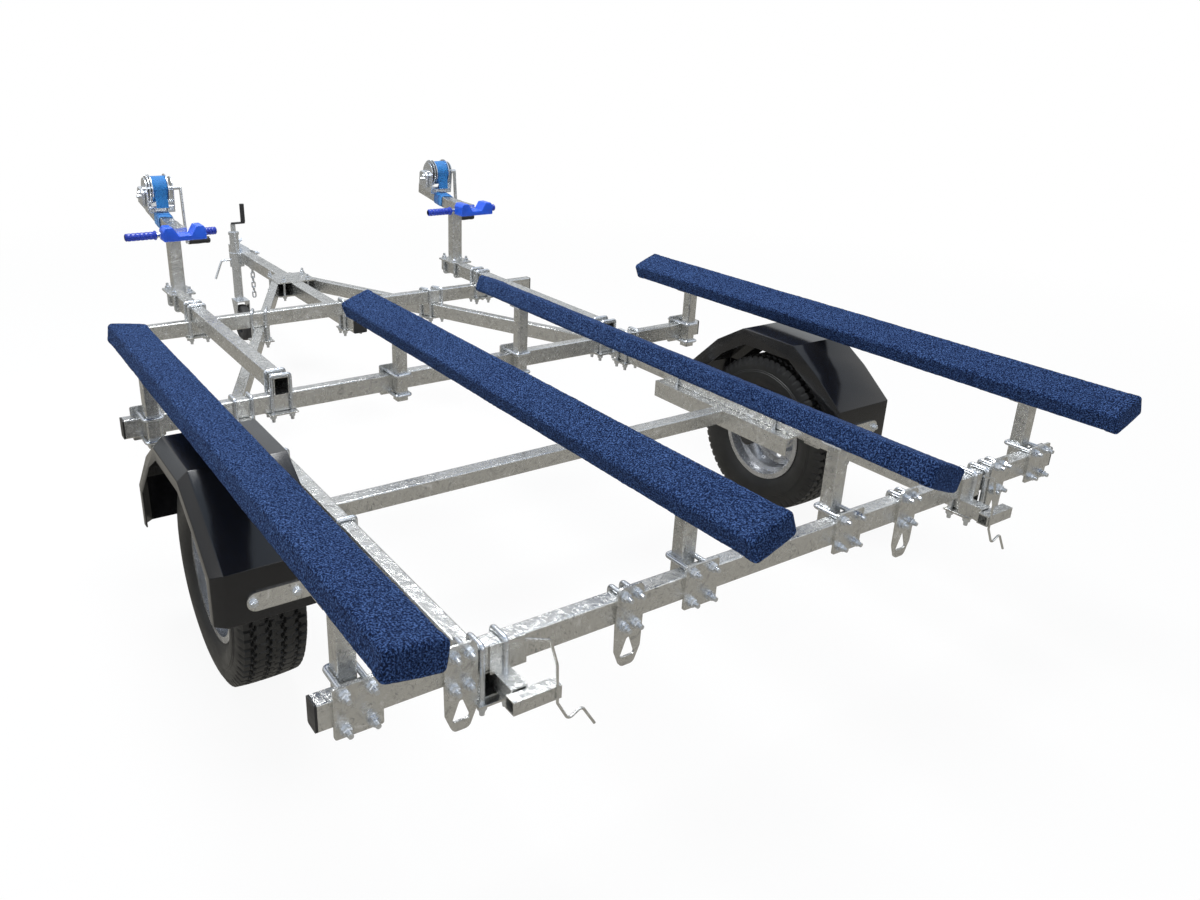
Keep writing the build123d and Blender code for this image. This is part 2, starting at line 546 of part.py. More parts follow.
for name, side in SIDES:
    y = side * WINCH_Y
    tube_mouth = Plane(origin=(REAR_X + WINCH_TUBE_START, y, FRAME_TOP + WINCH_TUBE_HEIGHT / 2),
                       x_dir=(0, 1, 0), z_dir=(1, 0, 0))
    save(f"winch_tube_{name}", tube(tube_mouth, WINCH_TUBE_WIDTH, WINCH_TUBE_HEIGHT, TUBE_WALL,
                                    WINCH_TUBE_END - WINCH_TUBE_START))

    stub_start = WINCH_POST_X - WINCH_POST_SIZE / 2 - SNUBBER_STUB
    bar_x = stub_start + GRIP_BAR_DIAMETER
    bar_z = WINCH_HEAD - ARM_SIZE / 2
    with BuildPart() as stand:
        with BuildSketch(Plane.XY.offset(WINCH_TUBE_TOP)):
            with Locations((WINCH_POST_X, y)):
                RectangleRounded(WINCH_BASE[0], WINCH_BASE[1], WINCH_BASE_CORNER)
        extrude(amount=WINCH_BASE[2])
        with BuildSketch(Plane.XY.offset(WINCH_BASE_TOP)):
            with Locations((WINCH_POST_X, y)):
                RectangleRounded(WINCH_POST_SIZE, WINCH_POST_SIZE, TUBE_CORNER)
        extrude(amount=WINCH_HEAD - WINCH_BASE_TOP)
        with BuildSketch(arm_plane(y)):
            RectangleRounded(ARM_SIZE, ARM_SIZE, TUBE_CORNER)
        extrude(amount=ARM_REACH)
        with BuildSketch(Plane(origin=(stub_start, y, bar_z), x_dir=(0, 1, 0), z_dir=(1, 0, 0))):
            RectangleRounded(ARM_SIZE, ARM_SIZE, TUBE_CORNER)
        extrude(amount=SNUBBER_STUB)
        bar_start = (bar_x, y - GRIP_ENDS[0][1], bar_z)
        with BuildSketch(Plane(origin=bar_start, x_dir=(1, 0, 0), z_dir=(0, 1, 0))):
            Circle(GRIP_BAR_DIAMETER / 2)
        extrude(amount=GRIP_ENDS[0][1] + GRIP_ENDS[1][1])
        with BuildSketch(Plane.XY.offset(WINCH_TUBE_TOP)):
            with Locations((WINCH_POST_X, y)):
                Rectangle(WINCH_POST_SIZE - 2 * TUBE_WALL, WINCH_POST_SIZE - 2 * TUBE_WALL)
        extrude(amount=WINCH_HEAD - TUBE_WALL - WINCH_TUBE_TOP, mode=Mode.SUBTRACT)
        with BuildSketch(arm_plane(y)):
            Rectangle(ARM_SIZE - 2 * TUBE_WALL, ARM_SIZE - 2 * TUBE_WALL)
        extrude(amount=ARM_REACH, mode=Mode.SUBTRACT)
    save(f"winch_stand_{name}", stand.part)

    block = Plane(origin=(stub_start, y, FRAME_TOP + SNUBBER_BOTTOM), x_dir=(0, -1, 0), z_dir=(-1, 0, 0))
    with BuildPart() as snubber:
        with BuildSketch(block):
            with BuildLine():
                Polyline(*SNUBBER_PROFILE, *((-u, v) for u, v in reversed(SNUBBER_PROFILE)), close=True)
            make_face()
        extrude(amount=SNUBBER_DEPTH)
    save(f"bow_snubber_{name}", snubber.part)

    grips = []
    for outward, bar_reach, grip_length in GRIP_ENDS:
        grip_end = y + outward * bar_reach
        with BuildPart() as grip:
            with BuildSketch(Plane(origin=(bar_x, grip_end, bar_z), x_dir=(1, 0, 0), z_dir=(0, outward, 0))):
                Circle(GRIP_DIAMETER / 2)
                Circle(GRIP_BAR_DIAMETER / 2 + GRIP_CLEARANCE, mode=Mode.SUBTRACT)
            extrude(amount=-grip_length)
        grips.append(grip.part)
    save(f"hand_grips_{name}", *grips)

    deck = winch_plane(y)
    cheek_out = WINCH_CHEEK_SPREAD / 2
    half_width = WINCH_CHEEK_WIDTH / 2
    with BuildPart() as frame:
        with BuildSketch(deck):
            Rectangle(WINCH_CHEEK_WIDTH, WINCH_CHEEK_SPREAD)
        extrude(amount=WINCH_SHEET)
        for outward in (-1, 1):
            cheek = Plane(origin=deck.from_local_coords((0, outward * cheek_out, 0)),
                          x_dir=deck.x_dir, z_dir=deck.y_dir * outward)
            with BuildSketch(cheek):
                with Locations((0, -outward * WINCH_AXIS_HEIGHT / 2)):
                    Rectangle(WINCH_CHEEK_WIDTH, WINCH_AXIS_HEIGHT)
                with Locations((0, -outward * WINCH_AXIS_HEIGHT)):
                    Circle(half_width)
                    Circle(WINCH_SHAFT_DIAMETER / 2 + WINCH_SHAFT_CLEARANCE, mode=Mode.SUBTRACT)
            extrude(amount=-WINCH_SHEET)
    save(f"winch_frame_{name}", frame.part)

    axis = deck.from_local_coords((0, 0, WINCH_AXIS_HEIGHT))
    across = Plane(origin=axis, x_dir=deck.x_dir, z_dir=(0, 1, 0))
    crank_drop = sqrt(CRANK_LENGTH ** 2 - CRANK_LEAN ** 2)
    crank_tip = (axis.X - CRANK_LEAN, y - CRANK_OFFSET, axis.Z - crank_drop)
    crank_face = Plane(origin=(axis.X, y - CRANK_OFFSET, axis.Z), x_dir=(-CRANK_LEAN, 0, -crank_drop),
                       z_dir=(0, 1, 0))
    with BuildPart() as drum:
        with BuildSketch(across.offset(-CRANK_OFFSET)):
            Circle(WINCH_SHAFT_DIAMETER / 2)
        extrude(amount=CRANK_OFFSET + cheek_out + WINCH_SHAFT_END)
        for flange_y in (-STRAP_WIDTH / 2 - WINCH_SHEET, STRAP_WIDTH / 2):
            with BuildSketch(across.offset(flange_y)):
                Circle(WINCH_FLANGE_DIAMETER / 2)
            extrude(amount=WINCH_SHEET)
        with BuildSketch(crank_face):
            with Locations((CRANK_LENGTH / 2, 0)):
                SlotCenterToCenter(CRANK_LENGTH, CRANK_SECTION[0])
        extrude(amount=CRANK_SECTION[1])
        with BuildSketch(Plane(origin=crank_tip, x_dir=(1, 0, 0), z_dir=(0, -1, 0))):
            Circle(CRANK_GRIP_DIAMETER / 2)
        extrude(amount=CRANK_GRIP_LENGTH)
    save(f"winch_drum_{name}", drum.part)

    with BuildPart() as strap:
        with BuildSketch(across.offset(-STRAP_WIDTH / 2)):
            Circle(STRAP_DIAMETER / 2)
            Circle(WINCH_SHAFT_DIAMETER / 2, mode=Mode.SUBTRACT)
        extrude(amount=STRAP_WIDTH)
    save(f"winch_strap_{name}", strap.part)

# ---- axle beam with its long angle brackets, and the arms that carry the wheels -----------
BRACKET_START = REAR_X + BRACKET_CENTRE_SETBACK - BRACKET_LENGTH / 2
BRACKET_Y = RAIL_Y - TUBE_WIDTH / 2 - BRACKET_INSET
with BuildPart() as axle:
    with BuildSketch(Plane(origin=(AXLE_X, -BRACKET_Y, AXLE_Z), x_dir=(1, 0, 0), z_dir=(0, 1, 0))):
        tube_section(AXLE_BEAM_SIZE, AXLE_BEAM_SIZE, AXLE_WALL)
    extrude(amount=2 * BRACKET_Y)
    for _, side in SIDES:
        inner = side * BRACKET_Y
        web = Plane(origin=(BRACKET_START, inner, RAIL_BOTTOM), x_dir=(0, side, 0), z_dir=(side, 0, 0))
        with BuildSketch(web):
            with BuildLine():
                Polyline((0, 0), (BRACKET_WIDTH, 0), (BRACKET_WIDTH, -BRACKET_SHEET),
                         (BRACKET_SHEET, -BRACKET_SHEET), (BRACKET_SHEET, -BRACKET_HEIGHT),
                         (0, -BRACKET_HEIGHT), close=True)
            make_face()
        extrude(amount=side * BRACKET_LENGTH)
save("axle_beam", axle.part)

for name, side in SIDES:
    pin_y = BRACKET_Y + BRACKET_SHEET
    with BuildPart() as suspension:
        with BuildSketch(Plane(origin=(AXLE_X, side * pin_y, AXLE_Z), x_dir=(1, 0, 0), z_dir=(0, side, 0))):
            Circle(TORSION_DIAMETER / 2)
        extrude(amount=ARM_PLATE_Y - pin_y)
        with BuildSketch(Plane(origin=(0, side * ARM_PLATE_Y, 0), x_dir=(1, 0, 0), z_dir=(0, -1, 0))):
            with Locations((AXLE_X, AXLE_Z)):
                Circle(ARM_PLATE_ENDS[0])
            with Locations((WHEEL_X, WHEEL_RADIUS)):
                Circle(ARM_PLATE_ENDS[1])
            make_hull()
        extrude(amount=-side * ARM_PLATE_THICKNESS)
        with BuildSketch(Plane(origin=(WHEEL_X, side * (ARM_PLATE_Y + ARM_PLATE_THICKNESS), WHEEL_RADIUS),
                               x_dir=(1, 0, 0), z_dir=(0, side, 0))):
            Circle(STUB_DIAMETER / 2)
        extrude(amount=WHEEL_Y + DISC_OFFSET - STUB_SETBACK - ARM_PLATE_Y - ARM_PLATE_THICKNESS)
    save(f"suspension_arm_{name}", suspension.part)

# ---- wheels -------------------------------------------------------------------------------
TYRE_WALL = 11.0
SHOULDER_DROP = 17.0         # shoulder below the tread's middle
SHOULDER_INSET = 9.0
CROWN_DROP = 3.0             # tread's edge below its middle
CROWN_INSET = 22.0
LINER_INSET = 24.0           # corner of the hollow in from the tyre's side
COLLAR = 2.0                 # tyre's foot above the rim's lip
WELL_DEPTH = 16.0
WELL_EDGES = (-34.0, -26.0, 20.0, 28.0)     # across the rim, where the well's walls start and end
WELL_SHIFT = 3.0             # the same corners on the rim's inner face
DISC_INNER = ((0.0, 31.0), (0.0, 78.0), (12.0, 92.0), (8.0, 122.0))     # from the disc's face, radius
DISC_OUTER = ((12.0, 124.0), (16.0, 91.0), (4.0, 76.0), (4.0, 31.0))
DISC_HOLES = (8, 106.0, 13.0)          # count, circle's radius, hole's radius
HUB_FLANGE = 10.0
HUB_CAP = (30.0, 34.0)       # radius, height


def wheel_plane(side):
    """Plane with X outward along the axle and Y up the wheel's radius."""
    return Plane(origin=(WHEEL_X, side * WHEEL_Y, WHEEL_RADIUS), x_dir=(0, side, 0), z_dir=(side, 0, 0))


for name, side in SIDES:
    half = TYRE_WIDTH / 2
    bead = RIM_WIDTH / 2 - RIM_SHEET
    liner = half - LINER_INSET
    collar = RIM_RADIUS + COLLAR
    shoulder = WHEEL_RADIUS - SHOULDER_DROP
    belly = (collar + shoulder) / 2
    axle_line = Axis((WHEEL_X, side * WHEEL_Y, WHEEL_RADIUS), (0, 1, 0))
    with BuildPart() as tyre:
        with BuildSketch(wheel_plane(side)):
            with BuildLine():
                Line((-bead, BEAD_RADIUS), (-bead, collar))
                ThreePointArc((-bead, collar), (-half, belly), (SHOULDER_INSET - half, shoulder))
                Polyline((SHOULDER_INSET - half, shoulder), (CROWN_INSET - half, WHEEL_RADIUS - CROWN_DROP),
                         (0, WHEEL_RADIUS), (half - CROWN_INSET, WHEEL_RADIUS - CROWN_DROP),
                         (half - SHOULDER_INSET, shoulder))
                ThreePointArc((half - SHOULDER_INSET, shoulder), (half, belly), (bead, collar))
                Polyline((bead, collar), (bead, BEAD_RADIUS), (bead - TYRE_WALL, BEAD_RADIUS),
                         (bead - TYRE_WALL, collar))
                ThreePointArc((bead - TYRE_WALL, collar), (half - TYRE_WALL, belly),
                              (liner, shoulder - TYRE_WALL))
                Line((liner, shoulder - TYRE_WALL), (-liner, shoulder - TYRE_WALL))
                ThreePointArc((-liner, shoulder - TYRE_WALL), (TYRE_WALL - half, belly),
                              (TYRE_WALL - bead, collar))
                Polyline((TYRE_WALL - bead, collar), (TYRE_WALL - bead, BEAD_RADIUS), (-bead, BEAD_RADIUS))
            make_face()
        revolve(axis=axle_line)
    save(f"tyre_{name}", tyre.part)

    lip = RIM_WIDTH / 2
    seat = BEAD_RADIUS - RIM_SHEET
    well_1, well_2, well_3, well_4 = WELL_EDGES
    with BuildPart() as rim:
        with BuildSketch(wheel_plane(side)):
            with BuildLine():
                Polyline((-lip, RIM_RADIUS), (-lip + RIM_SHEET, RIM_RADIUS), (-lip + RIM_SHEET, BEAD_RADIUS),
                         (well_1, BEAD_RADIUS), (well_2, BEAD_RADIUS - WELL_DEPTH),
                         (well_3, BEAD_RADIUS - WELL_DEPTH), (well_4, BEAD_RADIUS),
                         (lip - RIM_SHEET, BEAD_RADIUS), (lip - RIM_SHEET, RIM_RADIUS), (lip, RIM_RADIUS),
                         (lip, seat), (well_4 + WELL_SHIFT, seat), (well_3 + WELL_SHIFT, seat - WELL_DEPTH),
                         (well_2 - WELL_SHIFT, seat - WELL_DEPTH), (well_1 - WELL_SHIFT, seat),
                         (-lip, seat), close=True)
            make_face()
            with BuildLine():
                Polyline(*((DISC_OFFSET + out, radius) for out, radius in DISC_INNER),
                         (well_3 + WELL_SHIFT, seat - WELL_DEPTH),
                         (well_3 + WELL_SHIFT, seat - WELL_DEPTH + RIM_SHEET),
                         (well_4, seat - WELL_DEPTH + RIM_SHEET + COLLAR),
                         *((DISC_OFFSET + out, radius) for out, radius in DISC_OUTER), close=True)
            make_face()
        revolve(axis=axle_line)
        with BuildSketch(Plane(origin=(WHEEL_X, side * (WHEEL_Y - lip), WHEEL_RADIUS), x_dir=(1, 0, 0),
                               z_dir=(0, side, 0))):
            with PolarLocations(DISC_HOLES[1], DISC_HOLES[0]):
                Circle(DISC_HOLES[2])
        extrude(amount=RIM_WIDTH, mode=Mode.SUBTRACT)

        hub_base = Plane(origin=(WHEEL_X, side * (WHEEL_Y + DISC_OFFSET), WHEEL_RADIUS), x_dir=(1, 0, 0),
                         z_dir=(0, -side, 0))
        with BuildSketch(hub_base):
            Circle(HUB_FLANGE_DIAMETER / 2)
        extrude(amount=HUB_FLANGE)
        with BuildSketch(hub_base):
            Circle(HUB_DIAMETER / 2)
        extrude(amount=HUB_LENGTH)
        with BuildSketch(hub_base):
            Circle(HUB_CAP[0])
        extrude(amount=-HUB_CAP[1])
        with BuildSketch(hub_base):
            Circle(STUB_DIAMETER / 2 + HUB_CLEARANCE)
        extrude(amount=HUB_LENGTH, mode=Mode.SUBTRACT)
    save(f"wheel_{name}", rim.part)

# ---- mudguards and their stays ------------------------------------------------------------
GUARD_BELLY = -120.0         # the profile runs down to here before the hem is cut
GUARD_OUTER_Y = GUARD_INNER_Y + GUARD_WIDTH
STAY_Z = WHEEL_RADIUS + STAY_RISE


def guard_profile(side, inset):
    """Faceted outline about the wheel centre, drawn in by an inset, its foot far below the hem."""
    flank = [(-side * x, z) for x, z in GUARD_OUTLINE]
    with BuildSketch() as outline:
        with BuildLine():
            Polyline((flank[0][0], GUARD_BELLY), *flank, (flank[-1][0], GUARD_BELLY), close=True)
        make_face()
        if inset:
            offset(amount=-inset, kind=Kind.INTERSECTION)
    return outline.sketch


guard_stays = []
for name, side in SIDES:
    wall = Plane(origin=(WHEEL_X, side * GUARD_INNER_Y, WHEEL_RADIUS), x_dir=(-side, 0, 0),
                 z_dir=(0, side, 0))
    ridge = GUARD_WIDTH - GUARD_CHAMFER
    hollow_ridge = ridge - GUARD_SHEET * (sqrt(2) - 1)
    rear_hem, front_hem = ((-side * x, z) for x, z in (GUARD_OUTLINE[0], GUARD_OUTLINE[-1]))
    with BuildPart() as guard:
        with BuildSketch(wall):
            add(guard_profile(side, 0))
        extrude(amount=ridge)
        with BuildSketch(wall.offset(ridge)):
            add(guard_profile(side, 0))
        extrude(amount=GUARD_CHAMFER, taper=45)
        with BuildSketch(wall.offset(GUARD_SHEET)):
            add(guard_profile(side, GUARD_SHEET))
        extrude(amount=hollow_ridge - GUARD_SHEET, mode=Mode.SUBTRACT)
        with BuildSketch(wall.offset(hollow_ridge)):
            add(guard_profile(side, GUARD_SHEET))
        extrude(amount=GUARD_WIDTH - GUARD_SHEET - hollow_ridge, taper=45, mode=Mode.SUBTRACT)
        with BuildSketch(wall):
            add(guard_profile(side, GUARD_RIM))
        extrude(amount=GUARD_WIDTH, mode=Mode.SUBTRACT)
        with BuildSketch(wall):
            with BuildLine():
                Polyline(rear_hem, front_hem, (front_hem[0], 2 * GUARD_BELLY), (rear_hem[0], 2 * GUARD_BELLY),
                         close=True)
            make_face()
        extrude(amount=GUARD_WIDTH, mode=Mode.SUBTRACT)
    save(f"mudguard_{name}", guard.part)

    rail_face = RAIL_Y + TUBE_WIDTH / 2
    end_y = GUARD_OUTER_Y - STAY_END_INSET - STAY_WIDTH / 2
    for along, face_x in ((-1, GUARD_OUTLINE[0][0]), (1, GUARD_OUTLINE[-1][0])):
        face = Plane(origin=(WHEEL_X + face_x, 0, STAY_Z), x_dir=(0, side, 0), z_dir=(along, 0, 0))
        with BuildPart() as stay:
            with BuildSketch(face):
                with Locations(((rail_face + end_y) / 2, 0)):
                    Rectangle(end_y - rail_face, STAY_WIDTH)
                with Locations((end_y, 0)):
                    Circle(STAY_WIDTH / 2)
            extrude(amount=STAY_THICKNESS)
            with Locations((WHEEL_X + face_x + along * (STAY_THICKNESS - STAY_TAB / 2),
                            side * (rail_face + STAY_THICKNESS / 2), STAY_Z)):
                Box(STAY_TAB, STAY_THICKNESS, STAY_WIDTH)
        guard_stays.append(stay.part)
save("guard_stays", *guard_stays)

# ---- jockey wheel -------------------------------------------------------------------------
JOCKEY_SHOULDER = 26.0       # leg's foot above the wheel
JOCKEY_LEG_SETBACK = 60.0    # leg's head below the tube's
JOCKEY_CAP = (28.0, 14.0)    # radius, height
JOCKEY_NECK = (13.0, 42.0)
JOCKEY_CRANK = (56.0, 20.0, 8.0)       # reach, width, thickness
JOCKEY_GRIP = (12.0, 96.0)
HANDLE_ROUTE = (             # y from the jockey tube, z from the clamp's middle
    (30.0, 0.0),
    (78.0, 0.0),
    (118.0, -96.0),
)
HANDLE_BEND = 16.0
HANDLE_RADIUS = 6.0
FORK_CROWN = 6.0
FORK_MARGIN = 22.0           # crown past the leg's axis and past the wheel's
FORK_EYE = (16.0, 14.0)      # half width of a cheek's foot, its depth below the wheel's axis
FORK_GAP = 5.0               # between a cheek and the wheel
JOCKEY_WHEEL_ROUND = 12.0

clamp_length, clamp_height, clamp_wall = JOCKEY_CLAMP
tube_top = FRAME_TOP + JOCKEY_TUBE_TOP
tube_bottom = FRAME_TOP - JOCKEY_TUBE_BOTTOM
leg_bottom = 2 * JOCKEY_WHEEL_RADIUS + JOCKEY_SHOULDER
clamp_z = RAIL_TOP - DRAWBAR_SIZE / 2 - clamp_height / 2
clamp_radius = JOCKEY_TUBE_DIAMETER / 2 + clamp_wall

with BuildPart() as clamp:
    with BuildSketch(Plane.XY.offset(clamp_z)):
        with Locations((JOCKEY_X, JOCKEY_Y)):
            Circle(clamp_radius)
        with Locations((JOCKEY_X, (JOCKEY_Y + DRAWBAR_SIZE / 2) / 2)):
            Rectangle(clamp_length, JOCKEY_Y - DRAWBAR_SIZE / 2)
        with Locations((JOCKEY_X, JOCKEY_Y)):
            Circle(JOCKEY_TUBE_DIAMETER / 2, mode=Mode.SUBTRACT)
    extrude(amount=clamp_height)
    handle_z = clamp_z + clamp_height / 2
    handle_plane = Plane(origin=(JOCKEY_X, JOCKEY_Y, handle_z), x_dir=(0, 1, 0), z_dir=(1, 0, 0))
    with BuildLine(handle_plane) as handle:
        FilletPolyline(*HANDLE_ROUTE, radius=HANDLE_BEND)
    with BuildSketch(Plane(origin=handle.line @ 0, z_dir=handle.line % 0)):
        Circle(HANDLE_RADIUS)
    sweep(path=handle.line)
save("jockey_clamp", clamp.part)

with BuildPart() as outer_tube:
    with BuildSketch(Plane.XY.offset(tube_bottom)):
        with Locations((JOCKEY_X, JOCKEY_Y)):
            Circle(JOCKEY_TUBE_DIAMETER / 2)
            Circle(JOCKEY_TUBE_DIAMETER / 2 - JOCKEY_WALL, mode=Mode.SUBTRACT)
    extrude(amount=tube_top - tube_bottom)
    with BuildSketch(Plane.XY.offset(tube_top)):
        with Locations((JOCKEY_X, JOCKEY_Y)):
            Circle(JOCKEY_CAP[0])
    extrude(amount=JOCKEY_CAP[1])
    with BuildSketch(Plane.XY.offset(tube_top + JOCKEY_CAP[1])):
        with Locations((JOCKEY_X, JOCKEY_Y)):
            Circle(JOCKEY_NECK[0])
    extrude(amount=JOCKEY_NECK[1])
save("jockey_tube", outer_tube.part)

crank_z = tube_top + JOCKEY_CAP[1] + JOCKEY_NECK[1]
crank_reach, crank_width, crank_thickness = JOCKEY_CRANK
with BuildPart() as jockey_crank:
    with BuildSketch(Plane(origin=(JOCKEY_X, JOCKEY_Y, crank_z), x_dir=(0, -1, 0), z_dir=(0, 0, 1))):
        with Locations((crank_reach / 2, 0)):
            SlotCenterToCenter(crank_reach, crank_width)
    extrude(amount=crank_thickness)
    with BuildSketch(Plane.XY.offset(crank_z + crank_thickness)):
        with Locations((JOCKEY_X, JOCKEY_Y - crank_reach)):
            Circle(JOCKEY_GRIP[0])
    extrude(amount=JOCKEY_GRIP[1])
save("jockey_crank", jockey_crank.part)

with BuildPart() as leg:
    with BuildSketch(Plane.XY.offset(leg_bottom)):
        with Locations((JOCKEY_X, JOCKEY_Y)):
            Circle(JOCKEY_LEG_DIAMETER / 2)
    extrude(amount=tube_top - JOCKEY_LEG_SETBACK - leg_bottom)
save("jockey_leg", leg.part)

wheel_x = JOCKEY_X - JOCKEY_TRAIL
wheel_z = JOCKEY_WHEEL_RADIUS
half_wheel = JOCKEY_WHEEL_WIDTH / 2
cheek_y = half_wheel + FORK_GAP
crown_top = leg_bottom - TOUCH
crown_rise = crown_top - wheel_z
eye_half, eye_drop = FORK_EYE
with BuildPart() as fork:
    with Locations((JOCKEY_X - JOCKEY_TRAIL / 2, JOCKEY_Y, crown_top - FORK_CROWN / 2)):
        Box(JOCKEY_TRAIL + 2 * FORK_MARGIN, 2 * cheek_y + 2 * JOCKEY_FORK_SHEET, FORK_CROWN)
    for outward in (-1, 1):
        cheek = Plane(origin=(wheel_x, JOCKEY_Y + outward * cheek_y, wheel_z), x_dir=(-outward, 0, 0),
                      z_dir=(0, outward, 0))
        with BuildSketch(cheek):
            with BuildLine():
                Polyline((-outward * (JOCKEY_TRAIL + FORK_MARGIN), crown_rise),
                         (outward * FORK_MARGIN, crown_rise), (outward * eye_half, -eye_drop),
                         (-outward * eye_half, -eye_drop), close=True)
            make_face()
        extrude(amount=JOCKEY_FORK_SHEET)
    with BuildSketch(Plane(origin=(wheel_x, JOCKEY_Y - cheek_y, wheel_z), x_dir=(1, 0, 0), z_dir=(0, 1, 0))):
        Circle(JOCKEY_AXLE_DIAMETER / 2)
    extrude(amount=2 * cheek_y)
save("jockey_fork", fork.part)

wheel_face = Plane(origin=(wheel_x, JOCKEY_Y - half_wheel, wheel_z), x_dir=(1, 0, 0), z_dir=(0, 1, 0))
with BuildPart() as jockey_wheel:
    with BuildSketch(wheel_face):
        Circle(JOCKEY_WHEEL_RADIUS)
        Circle(JOCKEY_AXLE_DIAMETER / 2 + TOUCH, mode=Mode.SUBTRACT)
    extrude(amount=JOCKEY_WHEEL_WIDTH)
    rims = jockey_wheel.edges().filter_by(GeomType.CIRCLE).sort_by(SortBy.RADIUS)[-2:]
    fillet(rims, JOCKEY_WHEEL_ROUND)
save("jockey_wheel", jockey_wheel.part)

# ---- safety chain, hanging from a staple under the drawbar --------------------------------
CHAIN_INNER_WIDTH = 10.0
STAPLE_WIRE = 8.0
STAPLE_WIDTH = 24.0
chain_x = JOCKEY_X - CHAIN_SETBACK
first_bow = RAIL_BOTTOM - CHAIN_WIRE     # height of the first link's upper bow
bow_radius = (CHAIN_INNER_WIDTH + CHAIN_WIRE) / 2
half_run = (CHAIN_PITCH + CHAIN_WIRE + TOUCH) / 2 - bow_radius

staple_low = first_bow - (CHAIN_WIRE + STAPLE_WIRE) / 2 - TOUCH
with BuildPart() as staple:
    with BuildLine(Plane(origin=(chain_x, 0, 0), x_dir=(0, 1, 0), z_dir=(1, 0, 0))) as bow:
        FilletPolyline((-STAPLE_WIDTH / 2, RAIL_BOTTOM), (-STAPLE_WIDTH / 2, staple_low),
                       (STAPLE_WIDTH / 2, staple_low), (STAPLE_WIDTH / 2, RAIL_BOTTOM), radius=STAPLE_WIRE)
    with BuildSketch(Plane(origin=bow.line @ 0, z_dir=bow.line % 0)):
        Circle(STAPLE_WIRE / 2)
    sweep(path=bow.line)

links = []
for index in range(CHAIN_LINKS):
    centre_z = first_bow - half_run - bow_radius - CHAIN_PITCH * index
    normal = (1, 0, 0) if index % 2 else (0, 1, 0)
    flat = Plane(origin=(chain_x, 0, centre_z), x_dir=(0, 0, 1), z_dir=normal)
    with BuildPart() as link:
        with BuildLine(flat) as loop:
            Line((-half_run, bow_radius), (half_run, bow_radius))
            ThreePointArc((half_run, bow_radius), (half_run + bow_radius, 0), (half_run, -bow_radius))
            Line((half_run, -bow_radius), (-half_run, -bow_radius))
            ThreePointArc((-half_run, -bow_radius), (-half_run - bow_radius, 0), (-half_run, bow_radius))
        with BuildSketch(Plane(origin=loop.wire() @ 0, z_dir=loop.wire() % 0)):
            Circle(CHAIN_WIRE / 2)
        sweep(path=loop.wire())
    links.append(link.part)
save("safety_chain", staple.part, *links)
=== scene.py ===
import json
import math
import random

import bmesh
import bpy
from mathutils import Matrix, Vector


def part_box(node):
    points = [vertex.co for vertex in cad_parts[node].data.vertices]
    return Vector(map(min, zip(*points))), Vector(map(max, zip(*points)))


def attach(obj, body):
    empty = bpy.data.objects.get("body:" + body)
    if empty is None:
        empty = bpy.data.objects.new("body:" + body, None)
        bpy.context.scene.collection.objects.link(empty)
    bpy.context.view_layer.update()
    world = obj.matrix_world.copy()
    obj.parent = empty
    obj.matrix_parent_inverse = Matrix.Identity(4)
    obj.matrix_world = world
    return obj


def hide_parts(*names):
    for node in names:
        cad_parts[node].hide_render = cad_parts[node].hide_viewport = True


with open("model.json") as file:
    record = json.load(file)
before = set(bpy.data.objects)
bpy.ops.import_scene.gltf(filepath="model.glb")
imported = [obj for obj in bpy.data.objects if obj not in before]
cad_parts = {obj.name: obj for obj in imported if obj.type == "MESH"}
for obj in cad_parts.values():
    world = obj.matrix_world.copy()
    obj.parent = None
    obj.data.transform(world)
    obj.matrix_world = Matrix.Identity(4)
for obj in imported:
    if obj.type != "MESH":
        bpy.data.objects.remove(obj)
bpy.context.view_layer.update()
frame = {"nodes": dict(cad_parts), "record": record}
nodes = frame["nodes"]
sides = (("left", 1), ("right", -1))
mm = 0.001
print("loaded", len(nodes), "parts")


def link(name, data):
    obj = bpy.data.objects.new(name, data)
    bpy.context.scene.collection.objects.link(obj)
    return obj


# camera
cameraSet = {
    "place": (-3.3218, 1.5987, 1.6272),
    "yaw": -33.33,
    "pitch": -21.54,
    "roll": 1.42,
    "lens": 29.06,
    "shift": (0.0621, -0.0282),
}


def makeCamera():
    yaw, pitch, roll = (math.radians(cameraSet[k]) for k in ("yaw", "pitch", "roll"))
    forward = Vector((math.cos(yaw) * math.cos(pitch), math.sin(yaw) * math.cos(pitch), math.sin(pitch)))
    level = Vector((math.sin(yaw), -math.cos(yaw), 0))
    upright = level.cross(forward)
    right = level * math.cos(roll) + upright * math.sin(roll)
    up = upright * math.cos(roll) - level * math.sin(roll)
    turn = Matrix((right, up, -forward)).transposed()
    data = bpy.data.cameras.new("mainCamera")
    data.lens = cameraSet["lens"]
    data.sensor_width = 36
    data.shift_x, data.shift_y = cameraSet["shift"]
    data.clip_end = 300
    camera = link("mainCamera", data)
    camera.matrix_world = Matrix.Translation(cameraSet["place"]) @ turn.to_4x4()
    bpy.context.scene.camera = camera


makeCamera()
bpy.context.scene.view_settings.view_transform = "Standard"


# material helpers
def newMaterial(name):
    material = bpy.data.materials.new(name)
    material.use_nodes = True
    return material, material.node_tree, material.node_tree.nodes["Principled BSDF"]


def setInputs(node, values):
    # a value is a socket to link from, or what the input is set to
    for label, value in values.items():
        if isinstance(value, bpy.types.NodeSocket):
            node.id_data.links.new(value, node.inputs[label])
        else:
            node.inputs[label].default_value = value


def addNode(tree, kind, **values):
    node = tree.nodes.new(kind)
    for key, value in values.items():
        if key in node.inputs:
            setInputs(node, {key: value})
        else:
            setattr(node, key, value)
    return node


